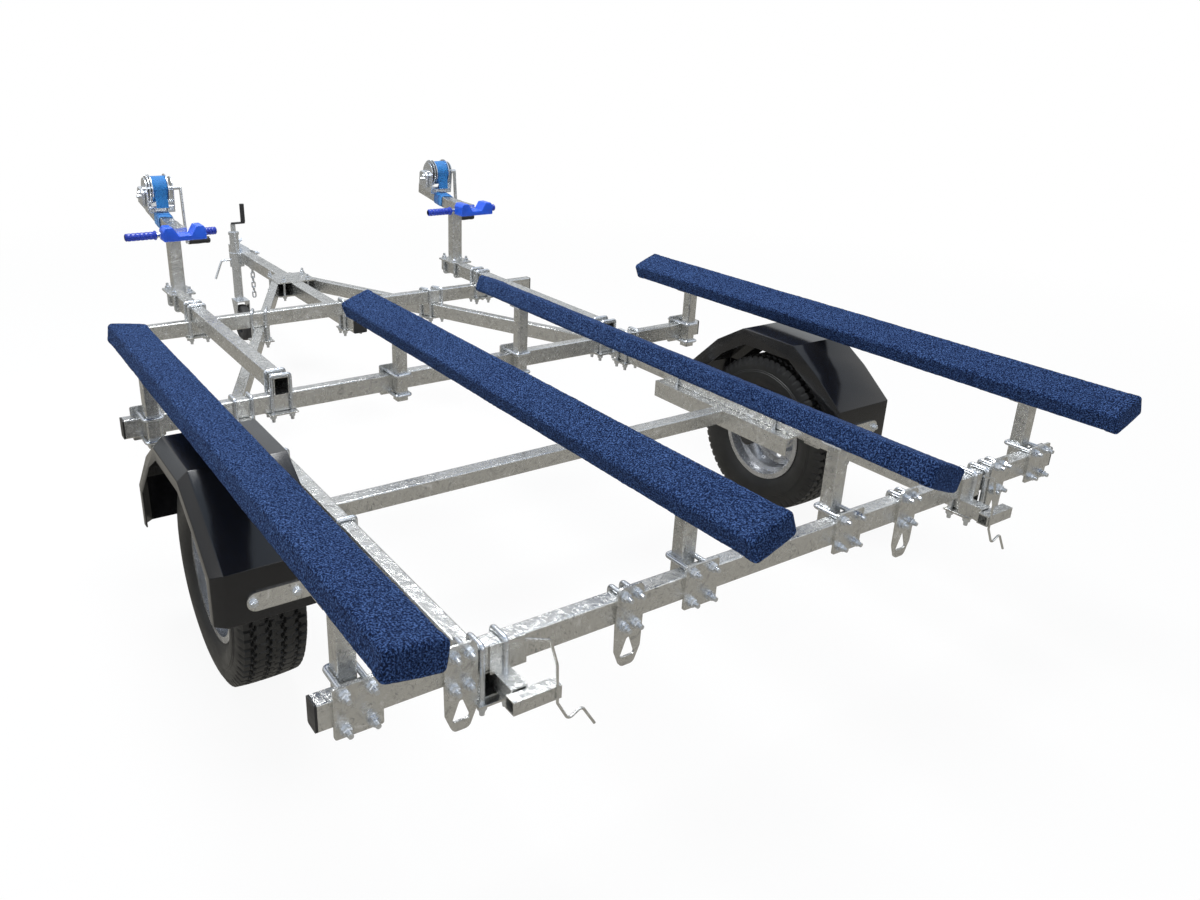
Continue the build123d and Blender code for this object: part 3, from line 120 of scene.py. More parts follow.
def ramp(tree, source, stops):
    node = addNode(tree, "ShaderNodeValToRGB", Fac=source)
    elements = node.color_ramp.elements
    while len(elements) < len(stops):
        elements.new(0.5)
    for element, (position, colour) in zip(elements, stops):
        element.position = position
        element.color = (*colour, 1)
    return node.outputs["Color"]


def spread(tree, source, low, high, lowTo, highTo):
    node = addNode(tree, "ShaderNodeMapRange", Value=source)
    setInputs(node, {"From Min": low, "From Max": high, "To Min": lowTo, "To Max": highTo})
    return node.outputs["Result"]


def tinted(tree, colour, source, low, tint, high, share=1.0, bright=(1.0, 1.0, 1.0)):
    # the colour times a ramp from a tint to white
    node = addNode(tree, "ShaderNodeMix", data_type="RGBA", blend_type="MULTIPLY")
    setInputs(node, {0: share, 6: colour, 7: ramp(tree, source, ((low, tint), (high, bright)))})
    return node.outputs[2]


def pattern(tree, kind, scale, stretch=(1, 1, 1), turn=(0, 0, 0), **values):
    place = addNode(tree, "ShaderNodeTexCoord")
    mapping = addNode(tree, "ShaderNodeMapping", Vector=place.outputs["Object"], Scale=stretch, Rotation=turn)
    return addNode(tree, kind, Vector=mapping.outputs["Vector"], Scale=scale, **values)


def noise(tree, scale, detail, roughness=0.5, **values):
    return pattern(tree, "ShaderNodeTexNoise", scale, Detail=detail, Roughness=roughness, **values).outputs["Fac"]


def bump(tree, shader, height, strength, distance, **below):
    node = addNode(tree, "ShaderNodeBump", Height=height, Strength=strength, Distance=distance, **below)
    setInputs(shader, {"Normal": node.outputs["Normal"]})
    return node.outputs["Normal"]


galvanisedSet = {
    "dark": (0.52, 0.52, 0.51),
    "middle": (0.74, 0.74, 0.72),
    "bright": (0.93, 0.94, 0.95),
    "flake": 0.35,
    "spangle": 95,
    "patch": 13,
    "vein": (0.45, 0.47, 0.50),
    "grain": 380,
    "roughness": (0.13, 0.30),
    "metallic": 0.95,
    "crinkle": 0.42,
}
zincSet = galvanisedSet | {
    "dark": (0.66, 0.69, 0.74),
    "middle": (0.80, 0.83, 0.87),
    "bright": (0.95, 0.97, 0.99),
    "flake": 0.5,
    "spangle": 160,
    "patch": 40,
    "roughness": (0.14, 0.30),
    "crinkle": 0.12,
}


def makeGalvanised(name, values):
    material, tree, shader = newMaterial(name)
    spangle = pattern(tree, "ShaderNodeTexVoronoi", values["spangle"], Randomness=1.0)
    patch = noise(tree, values["patch"], 6, 0.66, Distortion=2.2)
    crinkle = noise(tree, 3 * values["patch"], 5, 0.7, Distortion=3.5)
    grain = noise(tree, values["grain"], 3, 0.6)
    tone = addNode(tree, "ShaderNodeRGBToBW", Color=spangle.outputs["Color"]).outputs["Val"]
    base = ramp(tree, patch, ((0.30, values["dark"]), (0.44, values["middle"]), (0.58, values["middle"]),
                              (0.70, values["bright"])))
    colour = tinted(tree, base, tone, 0.1, (0.80, 0.81, 0.82), 0.9, values["flake"])
    colour = tinted(tree, colour, crinkle, 0.36, values["vein"], 0.43, 0.6)
    setInputs(shader, {"Base Color": colour, "Metallic": values["metallic"],
                       "Roughness": spread(tree, tone, 0, 1, *values["roughness"])})
    first = bump(tree, shader, grain, 0.08, 0.0005)
    bump(tree, shader, crinkle, values["crinkle"], 0.0035, Normal=first)
    return material


carpetSet = {
    "tones": ((0.40, (0.001, 0.004, 0.016)), (0.50, (0.007, 0.023, 0.086)), (0.61, (0.100, 0.190, 0.440))),
    "tuft": 270,
    "fibre": 640,
    "wear": 5,
    "sheen": {"Sheen Weight": 0.08, "Sheen Roughness": 0.55, "Sheen Tint": (0.35, 0.50, 0.95, 1)},
}


def makeCarpet():
    material, tree, shader = newMaterial("navyMarineCarpet")
    tuft = noise(tree, carpetSet["tuft"], 3, 0.75)
    fibre = noise(tree, carpetSet["fibre"], 2, 0.7)
    wear = noise(tree, carpetSet["wear"], 3)
    colour = tinted(tree, ramp(tree, tuft, carpetSet["tones"]), fibre, 0.3, (0.62, 0.64, 0.70), 0.7, 0.8)
    colour = tinted(tree, colour, wear, 0.3, (0.86, 0.88, 0.92), 0.7)
    setInputs(shader, {"Base Color": colour, "Roughness": 1.0, "Specular IOR Level": 0.1} | carpetSet["sheen"])
    first = bump(tree, shader, fibre, 0.6, 0.0015)
    bump(tree, shader, tuft, 0.9, 0.004, Normal=first)
    return material


mouldedSet = {  # name, two tones, roughness, grain scale and depth, coat, scale of the tones
    "black_plastic": ("blackPlastic", (0.012, 0.012, 0.013), (0.022, 0.022, 0.023), (0.35, 0.55), 320, 0.12, 0, 6),
    "blue_poly": ("bluePoly", (0.010, 0.085, 0.660), (0.018, 0.125, 0.780), (0.26, 0.42), 320, 0.12, 0.15, 6),
    "blue_grip": ("blueGripVinyl", (0.008, 0.030, 0.340), (0.014, 0.050, 0.470), (0.24, 0.38), 320, 0.12, 0.2, 6),
    "black_paint": ("blackPaint", (0.016, 0.016, 0.017), (0.030, 0.030, 0.031), (0.28, 0.50), 320, 0.12, 0.25, 6),
    "tyre": ("tyreRubber", (0.009, 0.009, 0.009), (0.021, 0.021, 0.020), (0.40, 0.62), 240, 0.25, 0, 6),
    "guard_plastic": ("guardPlastic", (0.005, 0.005, 0.006), (0.01, 0.01, 0.011), (0.12, 0.22), 240, 0.05, 0.1, 4),
    "black_rubber": ("blackRubber", (0.018, 0.018, 0.018), (0.034, 0.034, 0.034), (0.55, 0.80), 260, 0.2, 0, 6),
}


def makeMoulded(name, colour, second, roughness, grainScale, grainDepth, coat, mottling):
    # moulded plastic and rubber: slow tone change, fine grain and faint scuffs
    material, tree, shader = newMaterial(name)
    tone = noise(tree, mottling, 4, 0.6)
    grain = noise(tree, grainScale, 2, 0.6)
    scuff = noise(tree, 34, 6, 0.72, stretch=(0.35, 1.6, 1.0))
    base = ramp(tree, tone, ((0.3, colour), (0.7, second)))
    colour = tinted(tree, base, scuff, 0.62, (1.0, 1.0, 1.0), 0.74, bright=(1.22, 1.22, 1.20))
    setInputs(shader, {"Base Color": colour, "Roughness": spread(tree, scuff, 0.35, 0.75, *roughness),
                       "Coat Weight": coat, "Coat Roughness": 0.12})
    bump(tree, shader, grain, grainDepth, 0.0008)
    return material


webbingSet = {
    "ribs": 150,
    "tones": ((0.2, (0.003, 0.120, 0.430)), (0.8, (0.008, 0.270, 0.680))),
    "roughness": 0.62,
    "sheen": 0.25,
}


def makeWebbing():
    material, tree, shader = newMaterial("blueWebbing")
    turn = (0, 0, math.pi / 2)
    rib = pattern(tree, "ShaderNodeTexWave", webbingSet["ribs"], turn=turn, Distortion=0.6, Detail=2).outputs["Fac"]
    thread = noise(tree, 420, 2)
    dirt = noise(tree, 26, 4)
    colour = tinted(tree, ramp(tree, rib, webbingSet["tones"]), dirt, 0.35, (0.78, 0.80, 0.84), 0.7)
    setInputs(shader, {"Base Color": colour, "Roughness": webbingSet["roughness"],
                       "Sheen Weight": webbingSet["sheen"]})
    first = bump(tree, shader, thread, 0.3, 0.0006)
    bump(tree, shader, rib, 0.5, 0.0009, Normal=first)
    return material


silverSet = {
    "tones": ((0.3, (0.42, 0.43, 0.45)), (0.65, (0.64, 0.65, 0.67))),
    "roughness": (0.34, 0.18),
    "metallic": 0.92,
}


def makeWheelSilver():
    material, tree, shader = newMaterial("wheelSilver")
    flake = noise(tree, 900, 1)
    dust = noise(tree, 18, 5, 0.65)
    setInputs(shader, {"Base Color": ramp(tree, dust, silverSet["tones"]), "Metallic": silverSet["metallic"],
                       "Roughness": spread(tree, dust, 0.3, 0.7, *silverSet["roughness"])})
    bump(tree, shader, flake, 0.06, 0.0004)
    return material


finish = {
    "galvanised": makeGalvanised("galvanisedSteel", galvanisedSet),
    "zinc": makeGalvanised("brightZinc", zincSet),
    "carpet": makeCarpet(),
    "webbing": makeWebbing(),
    "wheel_silver": makeWheelSilver(),
}
finish |= {slotName: makeMoulded(*row) for slotName, row in mouldedSet.items()}
slotOf = {entry["node"]: entry["material_slot"] for entry in frame["record"]["subparts"]}


def dress(obj, slotName):
    obj.data.materials.clear()
    obj.data.materials.append(finish[slotName])


print("materials made", len(finish), "slots", len(slotOf))

for nodeName, obj in nodes.items():
    dress(obj, slotOf[nodeName])


# geometry helpers
def tidyFaces(obj, smooth=True, sharp=38):
    work = bmesh.new()
    work.from_mesh(obj.data)
    bmesh.ops.remove_doubles(work, verts=work.verts, dist=0.00002)
    bmesh.ops.recalc_face_normals(work, faces=work.faces)
    for face in work.faces:
        face.smooth = smooth
    for edge in work.edges:
        edge.smooth = edge.calc_face_angle(0) < math.radians(sharp)
    work.to_mesh(obj.data)
    work.free()


def meshFrom(name, vertices, faces, slotName, smooth=True):
    mesh = bpy.data.meshes.new(name)
    mesh.from_pydata([tuple(v) for v in vertices], [], faces)
    mesh.validate()
    obj = link(name, mesh)
    dress(obj, slotName)
    tidyFaces(obj, smooth)
    return obj


def finishPiece(obj, body, replaced=()):
    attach(obj, body)
    if replaced:
        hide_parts(*replaced)
    return obj


def addPiece(name, shape, body, slotName, replaced=(), smooth=True):
    return finishPiece(meshFrom(name, *shape, slotName, smooth), body, replaced)


def centreOf(nodeName):
    low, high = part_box(nodeName)
    return (low + high) / 2


def ringSkin(rings, closed=True, capped=False):
    # skin between rings of points; every ring holds the same number of points
    count = len(rings[0])
    vertices = [point for ring in rings for point in ring]
    faces = []
    for i in range(len(rings) if closed else len(rings) - 1):
        here, there = i * count, (i + 1) % len(rings) * count
        for j in range(count):
            k = (j + 1) % count
            faces.append((here + j, here + k, there + k, there + j))
    if capped:
        faces += [tuple(range(count)), tuple(reversed(range(len(vertices) - count, len(vertices))))]
    return vertices, faces


def lathe(profile, centre, axis, steps, ripple=None):
    # turn a closed profile of (along, radius) points round an axis through centre
    axis = Vector(axis).normalized()
    across = axis.orthogonal().normalized()
    third = axis.cross(across)
    rings = []
    for i in range(steps):
        angle = 2 * math.pi * i / steps
        outward = across * math.cos(angle) + third * math.sin(angle)
        ring = []
        for along, radius in profile:
            if ripple:
                radius -= ripple(angle, along, radius)
            ring.append(Vector(centre) + axis * along + outward * radius)
        rings.append(ring)
    return ringSkin(rings)


def flipped(half):
    # the second half of a symmetrical profile, carrying on from the first
    return [(-along, radius) for along, radius in reversed(half)]


def boxPart(low, high):
    corners = [(x, y, z) for x in (low[0], high[0]) for y in (low[1], high[1]) for z in (low[2], high[2])]
    faces = [(0, 1, 3, 2), (4, 6, 7, 5), (0, 4, 5, 1), (2, 3, 7, 6), (0, 2, 6, 4), (1, 5, 7, 3)]
    return corners, faces


def gather(parts):
    vertices, faces = [], []
    for partVertices, partFaces in parts:
        start = len(vertices)
        vertices += list(partVertices)
        faces += [tuple(start + i for i in face) for face in partFaces]
    return vertices, faces


def bevelled(obj, width, segments, angle=35):
    bevel = obj.modifiers.new("softEdges", "BEVEL")
    bevel.width = width
    bevel.segments = segments
    bevel.limit_method = "ANGLE"
    bevel.angle_limit = math.radians(angle)
    bevel.harden_normals = True
    return obj


def softCopy(nodeName, name, slotName, width):
    # a welded copy of a CAD part, its flat faces made whole and its edges softened
    mesh = nodes[nodeName].data.copy()
    obj = link(name, mesh)
    dress(obj, slotName)
    work = bmesh.new()
    work.from_mesh(mesh)
    bmesh.ops.remove_doubles(work, verts=work.verts, dist=0.00005)
    bmesh.ops.dissolve_limit(work, angle_limit=math.radians(2), verts=work.verts, edges=work.edges)
    for face in work.faces:
        face.smooth = True
    work.to_mesh(mesh)
    work.free()
    finishPiece(bevelled(obj, width, 3, 20), "chassis", (nodeName,))


# Geometry Nodes helpers
def newTree(name, labels):
    tree = bpy.data.node_groups.new(name, "GeometryNodeTree")
    for label, kind in [("Geometry", "Geometry"), *((label, "Float") for label in labels), ("Finish", "Material")]:
        tree.interface.new_socket(label, in_out="INPUT", socket_type="NodeSocket" + kind)
    tree.interface.new_socket("Geometry", in_out="OUTPUT", socket_type="NodeSocketGeometry")
    return tree, tree.nodes.new("NodeGroupInput")


def growPiece(name, mesh, tree, values, body):
    # run a tree over a source mesh and keep the result as a plain mesh, bright zinc all over
    source = link(name, mesh)
    values["Finish"] = finish["zinc"]
    modifier = source.modifiers.new("grow", "NODES")
    modifier.node_group = tree
    for item in tree.interface.items_tree:
        if item.in_out == "INPUT" and item.name in values:
            modifier[item.identifier] = values[item.name]
    source.update_tag()
    graph = bpy.context.evaluated_depsgraph_get()
    graph.update()
    mesh = bpy.data.meshes.new_from_object(source.evaluated_get(graph))
    source.modifiers.remove(modifier)
    bpy.data.objects.remove(source)
    mesh.name = name
    obj = link(name, mesh)
    dress(obj, "zinc")
    finishPiece(obj, body)


def joinLinks(tree, pairs):
    for (fromNode, fromSocket), (toNode, toSocket) in pairs:
        tree.links.new(fromNode.outputs[fromSocket], toNode.inputs[toSocket])


def closeTree(tree, start, last, socket):
    real = addNode(tree, "GeometryNodeRealizeInstances")
    paint = addNode(tree, "GeometryNodeSetMaterial")
    end = addNode(tree, "NodeGroupOutput")
    joinLinks(tree, (((last, socket), (real, "Geometry")), ((real, "Geometry"), (paint, "Geometry")),
                     ((start, "Finish"), (paint, "Material")), ((paint, "Geometry"), (end, "Geometry"))))
    return tree


rodLabels = ("Rod Radius", "Bend Radius")
nutLabels = ("Nut Radius", "Nut Height", "Thread Radius", "Thread Length", "Washer Radius", "Washer Thickness")


def makeRodTree():
    # every polyline of the source becomes a round rod with bent corners
    tree, start = newTree("bentRods", rodLabels)
    toCurve = addNode(tree, "GeometryNodeMeshToCurve")
    bend = addNode(tree, "GeometryNodeFilletCurve", mode="POLY", Count=5)
    bend.inputs["Limit Radius"].default_value = True
    circle = addNode(tree, "GeometryNodeCurvePrimitiveCircle", Resolution=12)
    sweep = addNode(tree, "GeometryNodeCurveToMesh")
    sweep.inputs["Fill Caps"].default_value = True
    shade = addNode(tree, "GeometryNodeSetShadeSmooth")
    joinLinks(tree, (((start, "Geometry"), (toCurve, "Mesh")), ((toCurve, "Curve"), (bend, "Curve")),
                     ((start, "Bend Radius"), (bend, "Radius")), ((start, "Rod Radius"), (circle, "Radius")),
                     ((bend, "Curve"), (sweep, "Curve")), ((circle, "Curve"), (sweep, "Profile Curve")),
                     ((sweep, "Mesh"), (shade, "Geometry"))))
    return closeTree(tree, start, shade, "Geometry")


def makeNutTree():
    # a washer, a six-sided nut and a short thread stand on every point, square to its facing
    tree, start = newTree("nutsOnThreads", nutLabels)

    def lifted(shape, height):
        offset = addNode(tree, "ShaderNodeCombineXYZ")
        move = addNode(tree, "GeometryNodeTransform")
        joinLinks(tree, (((height, 0), (offset, "Z")), ((offset, 0), (move, "Translation")),
                         ((shape, "Mesh"), (move, "Geometry"))))
        return move

    def post(corners, radius, depth, lift=None):
        body = addNode(tree, "GeometryNodeMeshCylinder", Vertices=corners)
        height = addNode(tree, "ShaderNodeMath", operation="MULTIPLY_ADD")
        height.inputs[1].default_value = 0.5
        height.inputs[2].default_value = 0.0
        joinLinks(tree, (((start, radius), (body, "Radius")), ((start, depth), (body, "Depth")),
                         ((start, depth), (height, 0))))
        if lift:
            joinLinks(tree, (((start, lift), (height, 2)),))
        return lifted(body, height)

    chamfer = addNode(tree, "GeometryNodeMeshCone", Vertices=6, Depth=0.0018)
    shrink = addNode(tree, "ShaderNodeMath", operation="MULTIPLY")
    shrink.inputs[1].default_value = 0.84
    seat = addNode(tree, "ShaderNodeMath", operation="ADD")
    joinLinks(tree, (((start, "Nut Radius"), (chamfer, "Radius Bottom")), ((start, "Nut Radius"), (shrink, 0)),
                     ((shrink, 0), (chamfer, "Radius Top")), ((start, "Nut Height"), (seat, 0)),
                     ((start, "Washer Thickness"), (seat, 1))))
    join = addNode(tree, "GeometryNodeJoinGeometry")
    for piece in (post(6, "Nut Radius", "Nut Height", "Washer Thickness"),
                  post(12, "Thread Radius", "Thread Length"),
                  post(20, "Washer Radius", "Washer Thickness"), lifted(chamfer, seat)):
        tree.links.new(piece.outputs["Geometry"], join.inputs["Geometry"])
    facing = addNode(tree, "GeometryNodeInputNamedAttribute", data_type="FLOAT_VECTOR", Name="facing")
    turn = addNode(tree, "GeometryNodeInputNamedAttribute", data_type="FLOAT", Name="turn")
    align = addNode(tree, "FunctionNodeAlignEulerToVector", axis="Z")
    spin = addNode(tree, "ShaderNodeCombineXYZ")
    local = addNode(tree, "FunctionNodeRotateEuler", space="LOCAL")
    toPoints = addNode(tree, "GeometryNodeMeshToPoints")
    scatter = addNode(tree, "GeometryNodeInstanceOnPoints")
    joinLinks(tree, (((facing, "Attribute"), (align, "Vector")), ((turn, "Attribute"), (spin, "Z")),
                     ((align, "Rotation"), (local, "Rotation")), ((spin, 0), (local, "Rotate By")),
                     ((start, "Geometry"), (toPoints, "Mesh")), ((toPoints, "Points"), (scatter, "Points")),
                     ((join, "Geometry"), (scatter, "Instance")), ((local, "Rotation"), (scatter, "Rotation"))))
    return closeTree(tree, start, scatter, "Instances")


rodTree = makeRodTree()
nutTree = makeNutTree()


def growRods(name, lines, radius, bendRadius, body):
    points, edges = [], []
    for line in lines:
        edges += [(len(points) + i, len(points) + i + 1) for i in range(len(line) - 1)]
        points += [tuple(p) for p in line]
    mesh = bpy.data.meshes.new(name)
    mesh.from_pydata(points, edges, [])
    growPiece(name, mesh, rodTree, dict(zip(rodLabels, (radius, bendRadius))), body)


def growNuts(name, spots, sizes, body):
    # sizes are in mm, in the order of nutLabels
    mesh = bpy.data.meshes.new(name)
    mesh.from_pydata([tuple(place) for place, _ in spots], [], [])
    mesh.attributes.new("facing", "FLOAT_VECTOR", "POINT")
    mesh.attributes.new("turn", "FLOAT", "POINT")
    facing, turn = mesh.attributes["facing"], mesh.attributes["turn"]
    drawn = random.Random(7)
    for i, (_, way) in enumerate(spots):
        facing.data[i].vector = way
        turn.data[i].value = drawn.uniform(0, 1)
    growPiece(name, mesh, nutTree, {label: size * mm for label, size in zip(nutLabels, sizes)}, body)


print("helpers ready")

# U-bolts, their plates and their nuts
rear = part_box("rear_crossmember")
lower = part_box("lower_crossmember")
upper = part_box("upper_crossmember")
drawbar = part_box("drawbar")
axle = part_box("axle_beam")
boltSet = {
    "rod": 6 * mm,
    "gap": 6.5 * mm,
    "bend": 9 * mm,
    "stickOut": 20 * mm,
    "plate": 6 * mm,
    "margin": 14 * mm,
    "nut": (10.4, 9, 5.6, 24, 12.5, 2.2),
}
gap, plate = boltSet["gap"], boltSet["plate"]
rods, nutSpots, plates = [], [], []


def uBolt(first, second, legs, seat):
    # first and second are the corners of the bow, legs the way they run, seat how far along them the nuts sit
    first, second, way = Vector(first), Vector(second), Vector(legs)
    tail = seat + boltSet["stickOut"]
    rods.append((first + way * tail, first, second, second + way * tail))
    nutSpots.append((first + way * seat, way))
    nutSpots.append((second + way * seat, way))


def overBolt(first, second, over, under):
    # an upright U-bolt: its bow clears the height over, its nuts sit below a plate at the height under
    uBolt((*first, over + gap), (*second, over + gap), (0, 0, -1), over + gap - under + plate)


def footprint(nodeName, ceiling):
    # the reach of a part in x and in y below a height
    foot = [v.co for v in nodes[nodeName].data.vertices if v.co.z < ceiling]
    return [(min(reach), max(reach)) for reach in ([v.x for v in foot], [v.y for v in foot])]


# posts: two level U-bolts round each post, nuts on the plate behind
for row, box, facing in (("rear", rear, -1), ("front", lower, 1)):
    plateX = box[0].x - plate if facing < 0 else box[1].x + plate
    for name in ("outer_left", "inner_left", "inner_right", "outer_right"):
        (lowX, highX), (lowY, highY) = footprint(f"{row}_post_{name}", rear[1].z)
        farX = highX + gap if facing < 0 else lowX - gap
        for z in (box[1].z + gap, box[0].z - gap):
            uBolt((farX, lowY - gap, z), (farX, highY + gap, z), (facing, 0, 0), abs(plateX - farX))

# tie-down plates: two upright U-bolts each, round the crossmember
tieSet = {"places": (0.851, 0.444, -0.470, -0.865), "spread": 16 * mm}
front = rear[1].x + gap
for y in tieSet["places"]:
    for where in (y - tieSet["spread"], y + tieSet["spread"]):
        uBolt((front, where, rear[1].z + gap), (front, where, rear[0].z - gap), (-1, 0, 0),
              front - rear[0].x + plate)


def crossClamp(y, halfY, box, bottom, skew=0.0):
    # two U-bolts over a crossmember, one each side of the tube that it rests on, and a plate underneath
    middle = (box[0].x + box[1].x) / 2
    halfX = (box[1].x - box[0].x) / 2 + gap
    for here in (y - halfY, y + halfY):
        overBolt((middle - halfX, here + skew * halfX), (middle + halfX, here - skew * halfX), box[1].z, bottom)
    reachX, reachY = halfX + boltSet["margin"], halfY + boltSet["margin"]
    plates.append(boxPart((middle - reachX, y - reachY, bottom - plate), (middle + reachX, y + reachY, bottom)))


# side rails: parallel from their back ends as far as the bend, then running in to the tip
railSet = {"half": 20 * mm, "bend": 1.640, "tip": (3.300, 0.050), "slack": 3 * mm}
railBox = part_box("side_rail_left")
railY = railBox[1].y - railSet["half"]
railHalf = railSet["half"] + gap
tipX, tipY = railSet["tip"]
slope = (railY - tipY) / (tipX - railSet["bend"])
innerY = railY - slope * ((upper[0].x + upper[1].x) / 2 - railBox[0].x - railSet["bend"])
for _, side in sides:
    crossClamp(side * railY, railHalf, rear, railBox[0].z)
    crossClamp(side * railY, railHalf, lower, railBox[0].z)
    crossClamp(side * innerY, railHalf + railSet["slack"], upper, railBox[0].z, side * slope)
crossClamp(0, drawbar[1].y + gap, upper, drawbar[0].z)

# winch tubes on the crossmembers
tubeSet = {"plate": (22 * mm, 24 * mm), "base": 6 * mm, "baseBolts": 52 * mm}
plateX, plateY = tubeSet["plate"]
for name, _ in sides:
    low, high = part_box(f"winch_tube_{name}")
    for box in (lower, upper):
        for x in (box[0].x - gap, box[1].x + gap):
            overBolt((x, low.y - gap), (x, high.y + gap), high.z, box[0].z)
        plates.append(boxPart((box[0].x - plateX, low.y - plateY, box[0].z - plate),
                              (box[1].x + plateX, high.y + plateY, box[0].z)))

# winch base plates: U-bolts from under the tube, nuts on top of the plate
for name, _ in sides:
    low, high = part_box(f"winch_tube_{name}")
    baseTop = high.z + tubeSet["base"]
    middle = sum(footprint(f"winch_stand_{name}", baseTop)[0]) / 2
    for x in (middle - tubeSet["baseBolts"], middle + tubeSet["baseBolts"]):
        uBolt((x, low.y - gap, low.z - gap), (x, high.y + gap, low.z - gap), (0, 0, 1), baseTop - low.z + gap)

# axle brackets: U-bolts over the rails
axleSet = {"inset": 85 * mm, "plate": (16 * mm, 42 * mm)}
plateX, plateY = axleSet["plate"]
seatZ = axle[1].z - plate
for _, side in sides:
    y = side * railY
    for x in (axle[0].x + axleSet["inset"], axle[1].x - axleSet["inset"]):
        overBolt((x, y - railHalf), (x, y + railHalf), railBox[1].z, seatZ)
        plates.append(boxPart((x - plateX, y - plateY, seatZ - plate), (x + plateX, y + plateY, seatZ)))

# jockey clamp: a back plate and four nuts on the drawbar's far side
backSet = {"half": (22 * mm, 38 * mm), "spots": (12 * mm, 25 * mm)}
clampLow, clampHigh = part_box("jockey_clamp")
halfX, halfZ = backSet["half"]
clampX, clampZ = (clampLow.x + clampHigh.x) / 2, clampHigh.z - halfZ
backY = drawbar[0].y
plates.append(boxPart((clampX - halfX, backY - plate, clampZ - halfZ), (clampX + halfX, backY, clampZ + halfZ)))
spotX, spotZ = backSet["spots"]
for x in (clampX - spotX, clampX + spotX):
    for z in (clampZ - spotZ, clampZ + spotZ):
        nutSpots.append(((x, backY - plate, z), (0, -1, 0)))

# junction plates: through bolts
junctionSet = {"rear": (24 * mm, 60 * mm), "front": (20 * mm, 84 * mm), "below": 16 * mm, "above": 20 * mm}
low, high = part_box("junction_plates")
for x, halfY in ((low.x + junctionSet["rear"][0], junctionSet["rear"][1]),
                 (high.x - junctionSet["front"][0], junctionSet["front"][1])):
    for y in (-halfY, halfY):
        rods.append([Vector((x, y, z)) for z in (low.z - junctionSet["below"], high.z + junctionSet["above"])])
        nutSpots.append(((x, y, high.z), (0, 0, 1)))
        nutSpots.append(((x, y, low.z), (0, 0, -1)))

growRods("uBolts", rods, boltSet["rod"], boltSet["bend"], "chassis")
growNuts("uBoltNuts", nutSpots, boltSet["nut"], "chassis")
clampPlates = meshFrom("clampStrapPlates", *gather(plates), "galvanised")
finishPiece(bevelled(clampPlates, 1.0 * mm, 1), "chassis")
print("U-bolts", len(rods), "nuts", len(nutSpots), "plates", len(plates))

# bunks: boards wrapped in marine carpet
bunkSet = {
    "width": 116 * mm,
    "thickness": 58 * mm,
    "corner": 10 * mm,
    "perCorner": 5,
    "perSide": (14, 6),
    "step": 7 * mm,
    "nap": 0.9 * mm * 0.35,
    "crown": 1.6 * mm,
    "waves": ((9, 1.0), (23, 0.6), (61, 0.4)),  # how fast along the board, share
    "waveHeight": 0.35 * mm,
    "foldAt": 34 * mm,
    "foldStep": 1.5 * mm,
    "flap": (0.82, 0.55, 0.28, 0.06),
    "flapNap": 0.3 * mm,
}
bunkTilt = {"outer_left": 9, "inner_left": -21, "inner_right": 21, "outer_right": -22}


def boardOutline():
    # points round the board's section, and the outward direction at each
    corner, perCorner = bunkSet["corner"], bunkSet["perCorner"]
    halfW, halfT = bunkSet["width"] / 2 - corner, bunkSet["thickness"] / 2 - corner
    corners = ((halfW, halfT), (-halfW, halfT), (-halfW, -halfT), (halfW, -halfT))
    points = []
    for i, (u, v) in enumerate(corners):
        for j in range(perCorner + 1):
            angle = math.radians(90 * i + 90 * j / perCorner)
            way = (math.cos(angle), math.sin(angle))
            points.append((u + corner * way[0], v + corner * way[1], way))
        nextU, nextV = corners[(i + 1) % 4]
        steps = bunkSet["perSide"][i % 2]
        startU, startV = u + corner * way[0], v + corner * way[1]
        for j in range(1, steps):
            points.append((startU + (nextU - u) * j / steps, startV + (nextV - v) * j / steps, way))
    return points


def makeBunk(name):
    low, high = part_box(f"bunk_{name}")
    centre = (low + high) / 2
    lean = math.radians(bunkTilt[name])
    acrossWay = Vector((0, math.cos(lean), math.sin(lean)))
    upWay = Vector((0, -math.sin(lean), math.cos(lean)))
    outline = boardOutline()
    drawn = random.Random(name)
    length, corner = high.x - low.x, bunkSet["corner"]
    count = int(length / bunkSet["step"])
    # places along the board, and how far its section draws in there: both ends are rounded
    turned = [math.radians(a) for a in (0, 20, 40, 60, 80)]
    rounded = [(corner * (1 - math.cos(a)), corner * (1 - math.sin(a))) for a in turned]
    places = rounded + [(corner + (length - 2 * corner) * i / count, 0.0) for i in range(count + 1)]
    places += [(length - x, inset) for x, inset in reversed(rounded)]
    phase = [drawn.uniform(0, 6.28) for _ in range(6)]
    rings = []
    for along, inset in places:
        wave = sum(size * math.sin(along * rate + turn) for (rate, size), turn in zip(bunkSet["waves"], phase))
        fold = bunkSet["foldStep"] if min(along, length - along) < bunkSet["foldAt"] else 0.0
        here = Vector((low.x + along, centre.y, centre.z))
        ring = []
        for u, v, way in outline:
            across = u / (bunkSet["width"] / 2)
            puff = bunkSet["crown"] * (1 - across * across) * abs(way[1])
            rough = drawn.gauss(0, 1) * bunkSet["nap"] + wave * bunkSet["waveHeight"]
            out = puff + rough + fold - inset
            ring.append(here + acrossWay * (u + way[0] * out) + upWay * (v + way[1] * out))
        rings.append(ring)
    for end in (0, -1):
        # close each end with ever smaller rings
        edge = rings[end]
        middle = sum(edge, Vector()) / len(edge)
        flap = []
        for share in bunkSet["flap"]:
            flap.append([middle + (p - middle) * share + Vector((drawn.gauss(0, 1) * bunkSet["flapNap"], 0, 0))
                         for p in edge])
        rings = list(reversed(flap)) + rings if end == 0 else rings + flap
    shape = ringSkin(rings, closed=False, capped=True)
    addPiece(f"bunkCarpet_{name}", shape, "chassis", "carpet", (f"bunk_{name}",))


for name in bunkTilt:
    makeBunk(name)
print("bunks wrapped")

